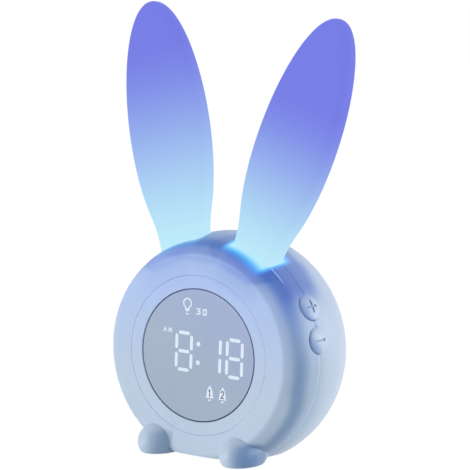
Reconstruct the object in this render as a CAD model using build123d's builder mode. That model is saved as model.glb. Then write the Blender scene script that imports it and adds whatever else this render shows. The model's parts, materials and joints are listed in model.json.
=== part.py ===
from build123d import *
from math import atan, atan2, cos, degrees, radians, sin, sqrt, tan
import os

os.makedirs("parts", exist_ok=True)

# All lengths are in millimetres. X runs to the viewer's right, Y to the back and Z up.
# Z is 0 on the table, X is 0 on the middle plane, and Y is 0 where the two case halves meet.

# Case: a round body turned about a level axis that runs from front to back
case_radius = 50.0            # at the widest circle
face_to_seam = 18.0           # flat front face, ahead of the parting plane
face_flat_radius = 42.0       # where the flat front turns into the shoulder
widest_behind_seam = 9.5      # widest circle, behind the parting plane
back_to_seam = 52.2           # rearmost point, behind the parting plane
wall = 2.0
base_height = 1.8             # flat underside of the case above the table
flat_depth = 6.9              # how much the flat underside takes off the round case
case_axis_height = base_height + case_radius - flat_depth
seam_groove = 0.35            # depth of the V line where the halves meet
lip_height = 1.6              # locating lip of the front half inside the rear half
lip_thickness = 0.9
fit_gap = 0.1                 # clearance between pieces that seat in each other

# Feet: two hollow paws on the front half
foot_x = 20.8
foot_axis_height = 5.1
foot_radius = 8.6
foot_half_length = 13.9
foot_wall = 3.0
foot_middle_y = -11.7         # middle of the foot along Y
foot_pad_thickness = 0.6
foot_pad_width = 8.0
foot_pad_length = 16.0
base_pad_width = 30.0
base_pad_length = 24.0
base_pad_y = 9.0

# Face: a ring set into the front, the mirror lens, and the lit digits behind it
lens_radius = 28.3
ring_width = 5.8              # from the lens out to the edge of the ring
ring_groove = 0.2             # open gap round the ring
ring_thickness = 2.2
ring_ledge_width = 3.1        # the ring rests on a ledge of the front half
ring_ledge_thickness = 1.6
ring_shoulder = 2.3           # collar of the front half outside the ring
lens_gap = 0.2
lens_recess = 0.4
lens_thickness = 1.2
lens_edge_chamfer = 0.2
ring_edge_chamfer = 0.25
lens_lip = 1.3                # ledge of the ring under the edge of the lens
digit_plate_inset = 1.6       # inside the edge of the lens
digit_plate_thickness = 5.0
segment_thickness = 1.3
digit_half_height = 7.9
digit_half_width = 3.75
digit_places = (-18.3, -7.3, 7.3, 18.3)
colon_half_height = 4.0
segment_gap = 0.1             # round each light guide
segment_corner = 0.7          # left open between the ends of neighbouring bars
segment_guide_lift = 0.8      # the light guides end ahead of the lamps of the board
display_board_overhang = 2.0  # outside the edge of the lens
board_thickness = 1.2
post_radius = 1.6             # posts of the ring that carry the display board
post_margin = 0.3             # between a post and the edge of the window
display_screw_angles = (20, 160, 200, 340)

# Ears: soft hollow shells, each an ellipse in outline, with a neck that enters the case
ear_root_x = 17.6             # where the ear's axis starts, beside the middle plane
ear_root_sunk = 8.0           # below the case's radius, measured along the tilted ear plane
ear_plane_y = -7.7            # ear plane at the height of the case axis
ear_tilt = 6.7                # degrees, backwards
ear_lean = 16.25              # degrees, outwards
ear_turn = 3.0                # degrees, so that the ears face slightly inwards
ear_half_width = 18.5
ear_half_length = 53.8
ear_middle = 53.6             # centre of the ellipse above the root
ear_neck_top = 16.5           # where the neck leaves the ellipse
ear_neck_half_width = 10.4
ear_root_thickness = 12.4
ear_tip_thickness = 8.0
ear_edge_round = 3.4
ear_wall = 1.8
ear_flange_drop = 4.0         # upper face of the flange below the root
ear_flange_thickness = 1.8
ear_flange_margin = 1.9
ear_seat_margin = 5.5         # thick seat of the case round each ear
clamp_thickness = 1.6
clamp_edge = 0.5              # from the screw holes to the front edge of the clamp
clamp_window = (15.0, 7.0)
clamp_screw_u = 9.0
clamp_screw_length = 4.2
ear_board_size = (20.0, 10.0)
led_size = 3.4
led_height = 1.1
led_spacing = 6.0

# Side keys: two on each side, on the seam, pressed inwards
key_angles = (61.3, 77.8)     # degrees from straight up
key_radius = 5.7
key_gap = 0.25                # round the key in its hole
key_stands_proud = 1.6
key_edge_drop = 1.0           # the edge of the dome below its top
key_flange_margin = 0.65
key_flange_thickness = 1.0
key_seat_gap = 0.2            # between the flange and the inside of the case
key_travel = 0.6
key_edge_chamfer = 0.5
key_sign_depth = 0.35
key_sign_size = 5.2
key_sign_width = 1.0
key_ring_width = 0.7          # ring, hand and dot of the signs on the left
key_pin_radius = 1.5
key_pin_length = 3.4
switch_size = 6.0
switch_height = 3.5
switch_stem_radius = 1.7
switch_stem_length = 2.2
switch_stem_sunk = 1.2        # how far the stem reaches into its switch at rest
key_board_length = 22.0
key_board_width = 10.0
key_rest_thickness = 1.8
key_rest_end_y = 2.0          # the board's back edge stays free for its lead

# Screws that join the halves, entered from the back
case_screw_radius = 35.0
case_screw_angles = (44, 130, 230, 316)   # degrees from straight up
case_boss_radius = 3.6
case_screw_shank = 1.45
case_screw_head = 2.6
case_screw_head_height = 2.0
case_screw_length = 17.0
case_screw_seat = 8.0         # where the head bears, behind the parting plane
case_well_wall = 1.4
screw_clearance = 0.25
pilot_clearance = 0.05

# Back: speaker behind a grille, charging socket in a recess
speaker_radius = 18.0
speaker_rim = 2.8
speaker_seat_y = 45.0
speaker_gasket = 0.8
speaker_frame_thickness = 1.2
speaker_basket_depth = 7.0
speaker_magnet_radius = 9.0
speaker_magnet_depth = 4.0
speaker_hub_hole = 4.5
speaker_dust_cap = 5.0
speaker_cone_depth = 3.8
speaker_cone_thickness = 0.5
speaker_screw_circle = 20.4
speaker_screw_reach = 2.2
grille_hole_radius = 1.3      # honeycomb holes, corner to middle
grille_rib = 1.5              # between neighbouring holes
grille_rings = 3              # rings of holes round the middle one
usb_drop = 30.0               # socket below the case axis
usb_recess = (13.0, 6.4)
usb_recess_floor_y = 39.4
usb_size = (9.0, 3.2)
usb_depth = 7.4
usb_wall = 1.6
usb_board_size = (18.0, 12.4)
usb_end_share = 0.45          # end radius of the oval inlet, as a share of its height
usb_shell_thickness = 0.35
usb_tongue_thickness = 0.7
usb_tongue_length = 5.9
usb_post_radius = 2.2
usb_post_spacing = 10.0
usb_post_y = 28.2

# Inner works, on four bosses of the rear half
main_board_y = 16.0
main_board_thickness = 1.6
main_board_size = (60.0, 34.0)
main_boss = (25.0, 13.0)
main_boss_radius = 3.2
cradle_plate_y = 6.4
cradle_wall = 1.4
cradle_wall_height = 6.0
cradle_leg_radius = 2.6
cradle_clearance = 3.0        # leads pass over the cradle at this height
battery_edge_round = 2.0
battery_size = (34.0, 8.8, 44.0)
battery_pad_thickness = 0.5
battery_gap = 0.4
battery_tab_depth = 7.0       # the cell's tabs ahead of its back face
small_screw_shank = 0.95
small_round_sides = 12        # small round things inside the case are drawn with flats
small_screw_length = 4.4
small_screw_reach = 4.0       # depth of a small pilot hole
main_screw_reach = 8.0
main_screw_length = 17.5
small_screw_head = 1.8
small_screw_head_height = 1.2
touch_plate_size = (16.0, 14.0)
touch_plate_y = 20.0
touch_plate_thickness = 0.4
lead_radius = 0.8
lead_sides = 6
header_columns = (6.0, 13.5)
ear_lead_drop = 3.5
key_lead_back = 3.6
key_lead_inward = 4.5
key_lead_end = (28.0, 4.0)
header_size = (5.0, 4.8, 4.0)
header_up = 14.5              # row of headers near the top edge of the main board
chips = ((-9.0, 4.0, 9.0, 9.0), (9.0, -7.0, 6.0, 5.0))   # place and size on the main board
chip_height = 1.3
coil_place = (12.0, 6.0)
coil_radius = 3.2
lead_bend_share = 0.45        # of the shorter run beside it that a bend uses up

face_ring_radius = lens_radius + ring_width
ear_root_up = case_radius - ear_root_sunk
case_axis = Axis((0, 0, case_axis_height), (0, 1, 0))
seam_plane = Plane.XZ
face_plane_y = -face_to_seam
sides = (1, -1)
keys = (
    ("plus", 1, key_angles[0]),
    ("minus", 1, key_angles[1]),
    ("mode", -1, key_angles[0]),
    ("alarm", -1, key_angles[1]),
)


# ---- Helpers ----

def finish_piece(piece, label):
    """Names a finished piece and writes its file."""
    piece.label = label
    export_step(piece, f"parts/{label}.step")


def back_plane(y, x=0, up=0):
    """Upright plane at y, seen from behind with its normal to the back, local y up."""
    return Plane(origin=(x, y, case_axis_height + up), x_dir=(-1, 0, 0), z_dir=(0, 1, 0))


def front_plane(y, x=0, up=0):
    """Upright plane at y with its normal to the front: local x is X and local y is up."""
    return Plane(origin=(x, y, case_axis_height + up), x_dir=(1, 0, 0), z_dir=(0, -1, 0))


def case_form(inset):
    """Solid of the case, smaller all round by inset, with its flat underside."""
    with BuildPart() as form:
        with BuildSketch(Plane.XY.offset(case_axis_height)):
            with BuildLine():
                front = face_plane_y + inset
                back = back_to_seam - inset
                rim = case_radius - inset
                Line((0, back), (0, front))
                Line((0, front), (face_flat_radius, front))
                EllipticalCenterArc(
                    (face_flat_radius, widest_behind_seam),
                    rim - face_flat_radius,
                    widest_behind_seam - front,
                    start_angle=270,
                    arc_size=90,
                )
                EllipticalCenterArc(
                    (0, widest_behind_seam),
                    rim,
                    back - widest_behind_seam,
                    start_angle=0,
                    arc_size=90,
                )
            make_face()
        revolve(axis=case_axis)
        split(bisect_by=Plane.XY.offset(base_height + inset), keep=Keep.TOP)
    return form.part


def case_reach(y, inset=0.0):
    """Radius of the case about its axis at a given y."""
    if y < widest_behind_seam:
        share = (widest_behind_seam - y) / (widest_behind_seam + face_to_seam - inset)
        return face_flat_radius + (case_radius - inset - face_flat_radius) * sqrt(1 - share**2)
    share = (y - widest_behind_seam) / (back_to_seam - inset - widest_behind_seam)
    return (case_radius - inset) * sqrt(1 - share**2)


def foot_form(side):
    """Outside of one foot, down to its pad and back to the parting plane."""
    middle = (side * foot_x, foot_middle_y)
    with BuildPart() as form:
        with BuildSketch(Plane.XY.offset(foot_axis_height)):
            with BuildLine():
                Line((middle[0], middle[1] - foot_half_length), (middle[0], middle[1] + foot_half_length))
                EllipticalCenterArc(middle, foot_radius, foot_half_length, start_angle=-90, arc_size=180)
            make_face()
        revolve(axis=Axis((middle[0], 0, foot_axis_height), (0, 1, 0)))
        split(bisect_by=Plane.XY.offset(foot_pad_thickness), keep=Keep.TOP)
        split(bisect_by=seam_plane, keep=Keep.TOP)
    return form.part


def ear_plane(side, along=0.0):
    """Plane of an ear: local x across it, local y from root to tip, normal to the front."""
    tilted = Plane(
        origin=(0, ear_plane_y, case_axis_height),
        x_dir=(1, 0, 0),
        z_dir=(0, -cos(radians(ear_tilt)), sin(radians(ear_tilt))),
    )
    lean = radians(ear_lean)
    turn = radians(side * ear_turn)
    across = tilted.x_dir * cos(lean) - tilted.y_dir * (side * sin(lean))
    root = tilted.from_local_coords((side * ear_root_x, ear_root_up))
    upward = tilted.x_dir * (side * sin(lean)) + tilted.y_dir * cos(lean)
    return Plane(
        origin=root + upward * along,
        x_dir=across * cos(turn) + tilted.z_dir * sin(turn),
        z_dir=tilted.z_dir * cos(turn) - across * sin(turn),
    )


def ear_cross_plane(side, along):
    """Plane square to an ear's axis: local x across it, local y to its front."""
    flat = ear_plane(side, along)
    return Plane(origin=flat.origin, x_dir=flat.x_dir * -1, z_dir=flat.y_dir)


def ear_side_plane(side):
    """Plane through an ear's axis and square to the ear: local x to the front, y to the tip."""
    flat = ear_plane(side)
    return Plane(origin=flat.origin, x_dir=flat.z_dir, z_dir=flat.x_dir * -1)


def ear_form(side, inset, bottom, edge_round):
    """Solid of one ear down to bottom, smaller all round by inset (larger if negative)."""
    half_width = ear_half_width - inset
    half_length = ear_half_length - inset
    neck = ear_neck_half_width - inset
    tip = ear_middle + half_length
    below_middle = ear_middle - ear_neck_top
    leave = half_width * sqrt(1 - (below_middle / half_length) ** 2)
    leave_slope = half_width**2 * below_middle / (half_length**2 * leave)
    neck_angle = degrees(atan2(below_middle / half_length, leave / half_width))
    taper = (ear_root_thickness - ear_tip_thickness) / 2 / (ear_middle + ear_half_length)
    tip_half = ear_tip_thickness / 2 - inset
    bottom_half = ear_root_thickness / 2 - inset - taper * bottom
    with BuildPart() as form:
        with BuildSketch(ear_plane(side)):
            with BuildLine():
                EllipticalCenterArc(
                    (0, ear_middle),
                    half_width,
                    half_length,
                    start_angle=-neck_angle,
                    arc_size=180 + 2 * neck_angle,
                )
                for edge in (-1, 1):
                    Spline(
                        (edge * leave, ear_neck_top),
                        (edge * neck, 0),
                        tangents=((-edge * leave_slope, -1), (0, -1)),
                    )
                Polyline((neck, 0), (neck, bottom), (-neck, bottom), (-neck, 0))
            make_face()
        extrude(amount=ear_root_thickness, both=True)
        with BuildSketch(ear_side_plane(side)):
            Polygon(
                (bottom_half, bottom),
                (tip_half, tip),
                (-tip_half, tip),
                (-bottom_half, bottom),
                align=None,
            )
        extrude(amount=ear_half_width * 2, both=True, mode=Mode.INTERSECT)
        if edge_round:
            broad_faces = form.faces().sort_by(SortBy.AREA)[-2:]
            bottom_edges = form.faces().sort_by(ear_axis(side))[0].edges()
            fillet(broad_faces.edges() - bottom_edges, edge_round)
    return form.part


def ear_axis(side):
    """Axis of an ear, from root to tip."""
    flat = ear_plane(side)
    return Axis(flat.origin, flat.y_dir)


def around_axis(radius, angles):
    """Places on a circle about the case axis, with angles in degrees from straight up."""
    return [(radius * sin(radians(a)), radius * cos(radians(a))) for a in angles]


def key_plane(side, angle, rise):
    """Plane square to a key's travel, rise outside the case's surface on the seam."""
    turn = radians(angle)
    dip = atan(seam_slope)
    outward = Vector(side * sin(turn) * cos(dip), -sin(dip), cos(turn) * cos(dip))
    surface = Vector(side * sin(turn) * seam_reach, 0, case_axis_height + cos(turn) * seam_reach)
    around = (side * cos(turn), 0, -sin(turn))
    return Plane(origin=surface + outward * rise, x_dir=around, z_dir=outward)


def ear_seat(side, margin):
    """Solid round an ear's neck, from the flange out into the case's wall."""
    with BuildPart() as seat:
        with BuildSketch(ear_cross_plane(side, -ear_flange_drop)):
            RectangleRounded(
                2 * (ear_neck_half_width + margin),
                ear_root_thickness + 2 * margin,
                ear_edge_round + margin / 2,
            )
        extrude(amount=3 * ear_flange_drop + ear_flange_thickness)
        add(middle_form, mode=Mode.INTERSECT)
    return seat.part


def rod(plane, radius, length):
    """Round bar that starts on a plane and runs along its normal."""
    with BuildPart() as bar:
        with BuildSketch(plane):
            Circle(radius)
        extrude(amount=length)
    return bar.part


def screw(plane, shank, length, head, head_height):
    """Screw: the head stands on the plane and the shank runs against its normal."""
    with BuildPart() as fastener:
        with BuildSketch(plane):
            RegularPolygon(head, small_round_sides)
        extrude(amount=head_height)
        with BuildSketch(plane):
            RegularPolygon(shank, small_round_sides)
        extrude(amount=-length)
    return fastener.part


# ---- Case halves ----

seam_share = widest_behind_seam / (widest_behind_seam + face_to_seam)
seam_reach = case_reach(0)
seam_slope = (
    (case_radius - face_flat_radius)
    / (widest_behind_seam + face_to_seam)
    * seam_share
    / sqrt(1 - seam_share**2)
)
outer_form = case_form(0)
inner_form = case_form(wall)
middle_form = case_form(wall / 2)
ring_seat_radius = face_ring_radius + ring_groove
ledge_front_y = face_plane_y + ring_thickness
ledge_back_y = ledge_front_y + ring_ledge_thickness
key_flange_radius = key_radius + key_flange_margin
key_sag = wall + key_flange_radius**2 / (2 * (seam_reach - wall))
key_flange_top = -key_sag - key_seat_gap
key_flange_bottom = key_flange_top - key_flange_thickness
key_pin_bottom = key_flange_bottom - key_pin_length
switch_top = key_pin_bottom - switch_stem_length + switch_stem_sunk
key_board_angle = sum(key_angles) / 2
key_half_angle = radians(key_angles[1] - key_angles[0]) / 2
switch_spread = (seam_reach + switch_top) * sin(key_half_angle)
switch_plane_rise = (seam_reach + switch_top) * cos(key_half_angle) - seam_reach
key_board_rise = switch_plane_rise - switch_height
case_screw_places = around_axis(case_screw_radius, case_screw_angles)
small_hole_radius = small_screw_shank + screw_clearance
small_pilot_radius = small_screw_shank + pilot_clearance
flange_bottom = -ear_flange_drop - ear_flange_thickness
clamp_bottom = flange_bottom - clamp_thickness
clamp_back_reach = ear_root_thickness / 2 + ear_flange_margin
clamp_screw_w = clamp_back_reach + small_pilot_radius + fit_gap / 2
clamp_front_reach = clamp_screw_w + small_hole_radius + clamp_edge

with BuildPart() as case_outside:
    add(outer_form)
    for side in sides:
        add(foot_form(side))

with BuildPart() as case_skin:
    add(case_outside.part)
    add(inner_form, mode=Mode.SUBTRACT)
    with BuildSketch(Plane.XY.offset(foot_pad_thickness + wall)):
        with Locations((foot_x, foot_middle_y), (-foot_x, foot_middle_y)):
            RegularPolygon(foot_radius - foot_wall, small_round_sides)
    extrude(amount=foot_radius, mode=Mode.SUBTRACT)
    for side in sides:
        add(ear_seat(side, ear_seat_margin))
    for side in sides:
        hole = ear_form(side, -fit_gap, -ear_flange_drop - 1, ear_edge_round + fit_gap)
        add(hole, mode=Mode.SUBTRACT)
    for name, side, angle in keys:
        hole_start = key_stands_proud + 1
        hole_plane = key_plane(side, angle, hole_start)
        add(rod(hole_plane, key_radius + key_gap, key_flange_bottom - hole_start), mode=Mode.SUBTRACT)
    with BuildSketch(Plane.XY.offset(case_axis_height)):
        with Locations((seam_reach, 0)):
            Rectangle(seam_groove * sqrt(2), seam_groove * sqrt(2), rotation=45)
    revolve(axis=case_axis, mode=Mode.SUBTRACT)

# Locating lip: a thin step of the front half that stands inside the rear half
with BuildPart() as lip:
    add(case_form(wall + fit_gap))
    add(case_form(wall + fit_gap + lip_thickness), mode=Mode.SUBTRACT)
    with Locations((0, lip_height / 2, case_axis_height)):
        Box(3 * case_radius, lip_height, 3 * case_radius, mode=Mode.INTERSECT)
with BuildPart() as lip_root:
    add(case_form(wall / 2))
    add(case_form(wall + fit_gap + lip_thickness), mode=Mode.SUBTRACT)
    with Locations((0, -lip_height / 2, case_axis_height)):
        Box(3 * case_radius, lip_height, 3 * case_radius, mode=Mode.INTERSECT)
with BuildPart() as lip_ring:
    add(lip.part)
    add(lip_root.part)
    for side in sides:
        add(ear_seat(side, ear_seat_margin + fit_gap), mode=Mode.SUBTRACT)
        with BuildSketch(ear_cross_plane(side, ear_flange_drop)):
            RectangleRounded(
                2 * (ear_neck_half_width + ear_seat_margin + fit_gap),
                ear_root_thickness + 2 * (ear_seat_margin + fit_gap),
                ear_edge_round + ear_seat_margin / 2,
            )
        extrude(amount=-4 * ear_flange_drop, mode=Mode.SUBTRACT)
        for angle in (*key_angles, key_board_angle):
            room = rod(key_plane(side, angle, 0), key_flange_radius + 2 * key_gap, 2 * key_flange_bottom)
            add(room, mode=Mode.SUBTRACT)


def key_rest(side):
    """Rib from the front wall that carries the key board of one side."""
    top = key_plane(side, key_board_angle, key_board_rise - board_thickness)
    with BuildPart() as rest:
        with BuildSketch(top):
            Rectangle(key_board_length, 4 * face_to_seam)
        extrude(amount=-key_rest_thickness)
        add(middle_form, mode=Mode.INTERSECT)
        split(bisect_by=Plane.XZ.offset(-key_rest_end_y), keep=Keep.TOP)
    return rest.part


with BuildPart() as front_shell:
    add(case_skin.part)
    split(bisect_by=seam_plane, keep=Keep.TOP)
    add(lip_ring.part)
    for side in sides:
        add(key_rest(side))
    with BuildSketch(front_plane(ledge_back_y)):
        Circle(ring_seat_radius + ring_shoulder)
        Circle(ring_seat_radius - ring_ledge_width, mode=Mode.SUBTRACT)
    extrude(amount=ring_ledge_thickness + ring_thickness - wall / 2)
    with BuildSketch(front_plane(ledge_front_y)):
        Circle(ring_seat_radius)
    extrude(amount=2 * ring_thickness, mode=Mode.SUBTRACT)
    with BuildSketch(front_plane(0)):
        with Locations(*case_screw_places):
            RegularPolygon(case_boss_radius, small_round_sides)
    extrude(amount=-ledge_front_y)
    with BuildSketch(front_plane(0)):
        with Locations(*case_screw_places):
            RegularPolygon(case_screw_shank + pilot_clearance, small_round_sides)
    extrude(amount=-ledge_back_y - wall, mode=Mode.SUBTRACT)
    for side in sides:
        with BuildSketch(ear_cross_plane(side, flange_bottom)):
            with Locations((clamp_screw_u, clamp_screw_w), (-clamp_screw_u, clamp_screw_w)):
                RegularPolygon(small_pilot_radius, small_round_sides)
        extrude(amount=clamp_screw_length - clamp_thickness + fit_gap, mode=Mode.SUBTRACT)
finish_piece(front_shell.part, "front_shell")


# ---- Rear half: screw wells, speaker seat and grille, board bosses, socket recess ----

case_well_radius = case_screw_head + screw_clearance
main_boss_places = [(x * main_boss[0], y * main_boss[1]) for x in sides for y in sides]
main_boss_front_y = main_board_y + main_board_thickness
speaker_screw_places = around_axis(speaker_screw_circle, (60, 180, 300))
grille_pitch = grille_hole_radius * sqrt(3) + grille_rib
grille_range = range(-grille_rings, grille_rings + 1)
grille_places = [
    (grille_pitch * (column + row / 2), grille_pitch * row * sqrt(3) / 2)
    for row in grille_range
    for column in grille_range
    if abs(row + column) <= grille_rings
]
usb_block_front_y = usb_recess_floor_y - usb_wall
usb_board_top = case_axis_height - usb_drop - usb_size[1] / 2
usb_passage = [size + 2 * fit_gap for size in usb_size]
usb_post_places = [(x * usb_post_spacing / 2, usb_post_y) for x in sides]


def pillars(front_y, places, radius):
    """Pillars from an upright plane back into the case's wall."""
    with BuildPart() as group:
        with BuildSketch(front_plane(front_y)):
            with Locations(*places):
                RegularPolygon(radius, small_round_sides)
        extrude(amount=front_y - back_to_seam)
        add(middle_form, mode=Mode.INTERSECT)
    return group.part


with BuildPart() as speaker_seat:
    with BuildSketch(front_plane(speaker_seat_y)):
        Circle(speaker_radius)
        Circle(speaker_radius - speaker_rim, mode=Mode.SUBTRACT)
    extrude(amount=speaker_seat_y - back_to_seam)
    add(middle_form, mode=Mode.INTERSECT)

with BuildPart() as usb_block:
    with BuildSketch(front_plane(usb_block_front_y)):
        with Locations((0, -usb_drop)):
            RectangleRounded(usb_recess[0] + 2 * usb_wall, usb_recess[1] + 2 * usb_wall, 2 * usb_wall)
    extrude(amount=usb_block_front_y - back_to_seam)
    add(middle_form, mode=Mode.INTERSECT)

with BuildPart() as usb_posts:
    with BuildSketch(Plane.XY.offset(usb_board_top - board_thickness)):
        with Locations(*usb_post_places):
            RegularPolygon(usb_post_radius, small_round_sides)
    extrude(amount=-usb_board_top)
    add(middle_form, mode=Mode.INTERSECT)

with BuildPart() as rear_shell:
    add(case_skin.part)
    split(bisect_by=seam_plane, keep=Keep.BOTTOM)
    add(pillars(0, case_screw_places, case_well_radius + case_well_wall))
    add(pillars(main_boss_front_y, main_boss_places, main_boss_radius))
    add(speaker_seat.part)
    add(pillars(speaker_seat_y, speaker_screw_places, small_screw_head))
    add(usb_block.part)
    add(usb_posts.part)
    with BuildSketch(back_plane(case_screw_seat)):
        with Locations(*case_screw_places):
            Circle(case_well_radius)
    extrude(amount=back_to_seam, mode=Mode.SUBTRACT)
    with BuildSketch(back_plane(0)):
        with Locations(*case_screw_places):
            RegularPolygon(case_screw_shank + screw_clearance, small_round_sides)
    extrude(amount=case_screw_seat, mode=Mode.SUBTRACT)
    with BuildSketch(back_plane(main_boss_front_y)):
        with Locations(*main_boss_places):
            RegularPolygon(small_pilot_radius, small_round_sides)
    extrude(amount=main_screw_reach, mode=Mode.SUBTRACT)
    with BuildSketch(front_plane(speaker_seat_y)):
        with Locations(*speaker_screw_places):
            RegularPolygon(small_pilot_radius, small_round_sides)
    extrude(amount=-speaker_screw_reach, mode=Mode.SUBTRACT)
    with BuildSketch(Plane.XY.offset(usb_board_top - board_thickness)):
        with Locations(*usb_post_places):
            RegularPolygon(small_pilot_radius, small_round_sides)
    extrude(amount=-small_screw_reach, mode=Mode.SUBTRACT)
    with BuildSketch(back_plane(speaker_seat_y + wall / 2)):
        with Locations(*grille_places):
            RegularPolygon(grille_hole_radius, 6, rotation=30)
    extrude(amount=back_to_seam - speaker_seat_y, mode=Mode.SUBTRACT)
    with BuildSketch(back_plane(usb_recess_floor_y)):
        with Locations((0, -usb_drop)):
            RectangleRounded(*usb_recess, usb_recess[1] * usb_end_share)
    extrude(amount=back_to_seam, mode=Mode.SUBTRACT)
    with BuildSketch(back_plane(usb_block_front_y - wall)):
        with Locations((0, -usb_drop)):
            RectangleRounded(*usb_passage, usb_size[1] * usb_end_share)
    extrude(amount=2 * wall + usb_wall, mode=Mode.SUBTRACT)
finish_piece(rear_shell.part, "rear_shell")


# ---- Screws that join the halves ----

with BuildPart() as case_screws:
    for x, up in case_screw_places:
        seat = back_plane(case_screw_seat, x, up)
        add(screw(seat, case_screw_shank, case_screw_length, case_screw_head, case_screw_head_height))
finish_piece(case_screws.part, "case_screws")


# ---- Face: ring, lens, digit plate with its light guides, display board ----

window_radius = lens_radius - lens_lip
post_circle = window_radius + post_radius + post_margin
display_screw_places = around_axis(post_circle, display_screw_angles)
lens_back_y = face_plane_y + lens_recess + lens_thickness
digit_plate_front_y = lens_back_y + fit_gap
display_board_front_y = digit_plate_front_y + digit_plate_thickness

with BuildPart() as face_ring:
    with BuildSketch(front_plane(ledge_front_y)):
        Circle(face_ring_radius)
        Circle(window_radius, mode=Mode.SUBTRACT)
    extrude(amount=ring_thickness)
    with BuildSketch(front_plane(lens_back_y)):
        Circle(lens_radius + lens_gap)
    extrude(amount=lens_thickness + 2 * lens_recess, mode=Mode.SUBTRACT)
    front_edges = face_ring.edges().group_by(Axis.Y)[0]
    chamfer(front_edges, ring_edge_chamfer)
    with BuildSketch(front_plane(display_board_front_y)):
        with Locations(*display_screw_places):
            RegularPolygon(post_radius, small_round_sides)
    extrude(amount=display_board_front_y - ledge_front_y + ring_edge_chamfer)
    with BuildSketch(front_plane(display_board_front_y)):
        with Locations(*display_screw_places):
            RegularPolygon(small_pilot_radius, small_round_sides)
    extrude(amount=small_screw_reach, mode=Mode.SUBTRACT)
finish_piece(face_ring.part, "face_ring")

with BuildPart() as display_lens:
    with BuildSketch(front_plane(lens_back_y)):
        Circle(lens_radius)
    extrude(amount=lens_thickness)
    chamfer(display_lens.edges().group_by(Axis.Y)[0], lens_edge_chamfer)
finish_piece(display_lens.part, "display_lens")


def segment_bars(gap):
    """Outlines of all digit bars and the colon, wider by gap all round."""
    level_places = [(x, up * digit_half_height) for x in digit_places for up in (-1, 0, 1)]
    upright_places = [
        (place + x * digit_half_width, up * digit_half_height / 2)
        for place in digit_places
        for x in sides
        for up in sides
    ]
    width = segment_thickness + 2 * gap
    level_length = 2 * digit_half_width - segment_thickness - segment_corner + 2 * gap
    upright_length = digit_half_height - segment_thickness - segment_corner + 2 * gap
    with BuildSketch() as bars:
        with Locations(*level_places):
            Rectangle(level_length, width)
        with Locations(*upright_places):
            Rectangle(width, upright_length)
        with Locations((0, colon_half_height), (0, -colon_half_height)):
            RegularPolygon(segment_thickness / 2 + gap, 8)
    return bars.sketch


with BuildPart() as digit_plate:
    with BuildSketch(front_plane(display_board_front_y)):
        Circle(lens_radius - digit_plate_inset)
    extrude(amount=digit_plate_thickness)
    with BuildSketch(front_plane(display_board_front_y)):
        add(segment_bars(segment_gap))
    extrude(amount=digit_plate_thickness, mode=Mode.SUBTRACT)
finish_piece(digit_plate.part, "digit_plate")

with BuildPart() as digit_guides:
    with BuildSketch(front_plane(display_board_front_y - segment_guide_lift)):
        add(segment_bars(0))
    extrude(amount=digit_plate_thickness - segment_guide_lift)
finish_piece(digit_guides.part, "digit_guides")

with BuildPart() as display_board:
    with BuildSketch(front_plane(display_board_front_y)):
        Circle(lens_radius + display_board_overhang)
        with Locations(*display_screw_places):
            RegularPolygon(small_hole_radius, small_round_sides, mode=Mode.SUBTRACT)
    extrude(amount=-board_thickness)
finish_piece(display_board.part, "display_board")

with BuildPart() as display_screws:
    for x, up in display_screw_places:
        seat = back_plane(display_board_front_y + board_thickness, x, up)
        add(screw(seat, small_screw_shank, small_screw_length, small_screw_head, small_screw_head_height))
finish_piece(display_screws.part, "display_screws")


# ---- Ears: soft shells, the clamps that hold them, and their lights ----

def ear(side):
    """Hollow ear with its neck and the flange that keeps it in the case."""
    with BuildPart() as soft_shell:
        add(ear_form(side, 0, flange_bottom, ear_edge_round))
        with BuildSketch(ear_cross_plane(side, -ear_flange_drop)):
            RectangleRounded(
                2 * (ear_neck_half_width + ear_flange_margin),
                ear_root_thickness + 2 * ear_flange_margin,
                ear_edge_round + ear_flange_margin / 2,
            )
        extrude(amount=-ear_flange_thickness)
        add(ear_form(side, ear_wall, flange_bottom - 1, 0), mode=Mode.SUBTRACT)
    return soft_shell.part


def ear_clamp(side):
    """Plate that presses an ear's flange against its seat, with a window for the light."""
    reach = clamp_back_reach + clamp_front_reach
    with BuildPart() as plate:
        with BuildSketch(ear_cross_plane(side, flange_bottom)):
            with Locations((0, (clamp_front_reach - clamp_back_reach) / 2)):
                RectangleRounded(2 * (ear_neck_half_width + ear_flange_margin), reach, ear_flange_margin)
            Rectangle(*clamp_window, mode=Mode.SUBTRACT)
            with Locations((clamp_screw_u, clamp_screw_w), (-clamp_screw_u, clamp_screw_w)):
                RegularPolygon(small_hole_radius, small_round_sides, mode=Mode.SUBTRACT)
        extrude(amount=-clamp_thickness)
    return plate.part


def ear_light_board(side):
    """Small board under the clamp, with its lamps towards the ear."""
    with BuildPart() as board:
        with BuildSketch(ear_cross_plane(side, clamp_bottom)):
            Rectangle(*ear_board_size)
        extrude(amount=-board_thickness)
    return board.part


def ear_lights(side):
    """Two lamps that shine up the hollow ear through the window of the clamp."""
    with BuildPart() as lights:
        with BuildSketch(ear_cross_plane(side, clamp_bottom)):
            with Locations((-led_spacing / 2, 0), (led_spacing / 2, 0)):
                Rectangle(led_size, led_size)
        extrude(amount=led_height)
    return lights.part


for hand, side in (("right", 1), ("left", -1)):
    finish_piece(ear(side), f"{hand}_ear")
    finish_piece(ear_clamp(side), f"{hand}_ear_clamp")
    finish_piece(ear_light_board(side), f"{hand}_ear_light_board")
    finish_piece(ear_lights(side), f"{hand}_ear_lights")


# ---- Side keys, their switches and boards ----

def plus_sign():
    """Cross for the upper right key."""
    with BuildSketch() as sign:
        Rectangle(key_sign_size, key_sign_width)
        Rectangle(key_sign_width, key_sign_size)
    return sign.sketch


def minus_sign():
    """Bar for the lower right key, level when the clock stands."""
    with BuildSketch() as sign:
        Rectangle(key_sign_width, key_sign_size)
    return sign.sketch


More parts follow.
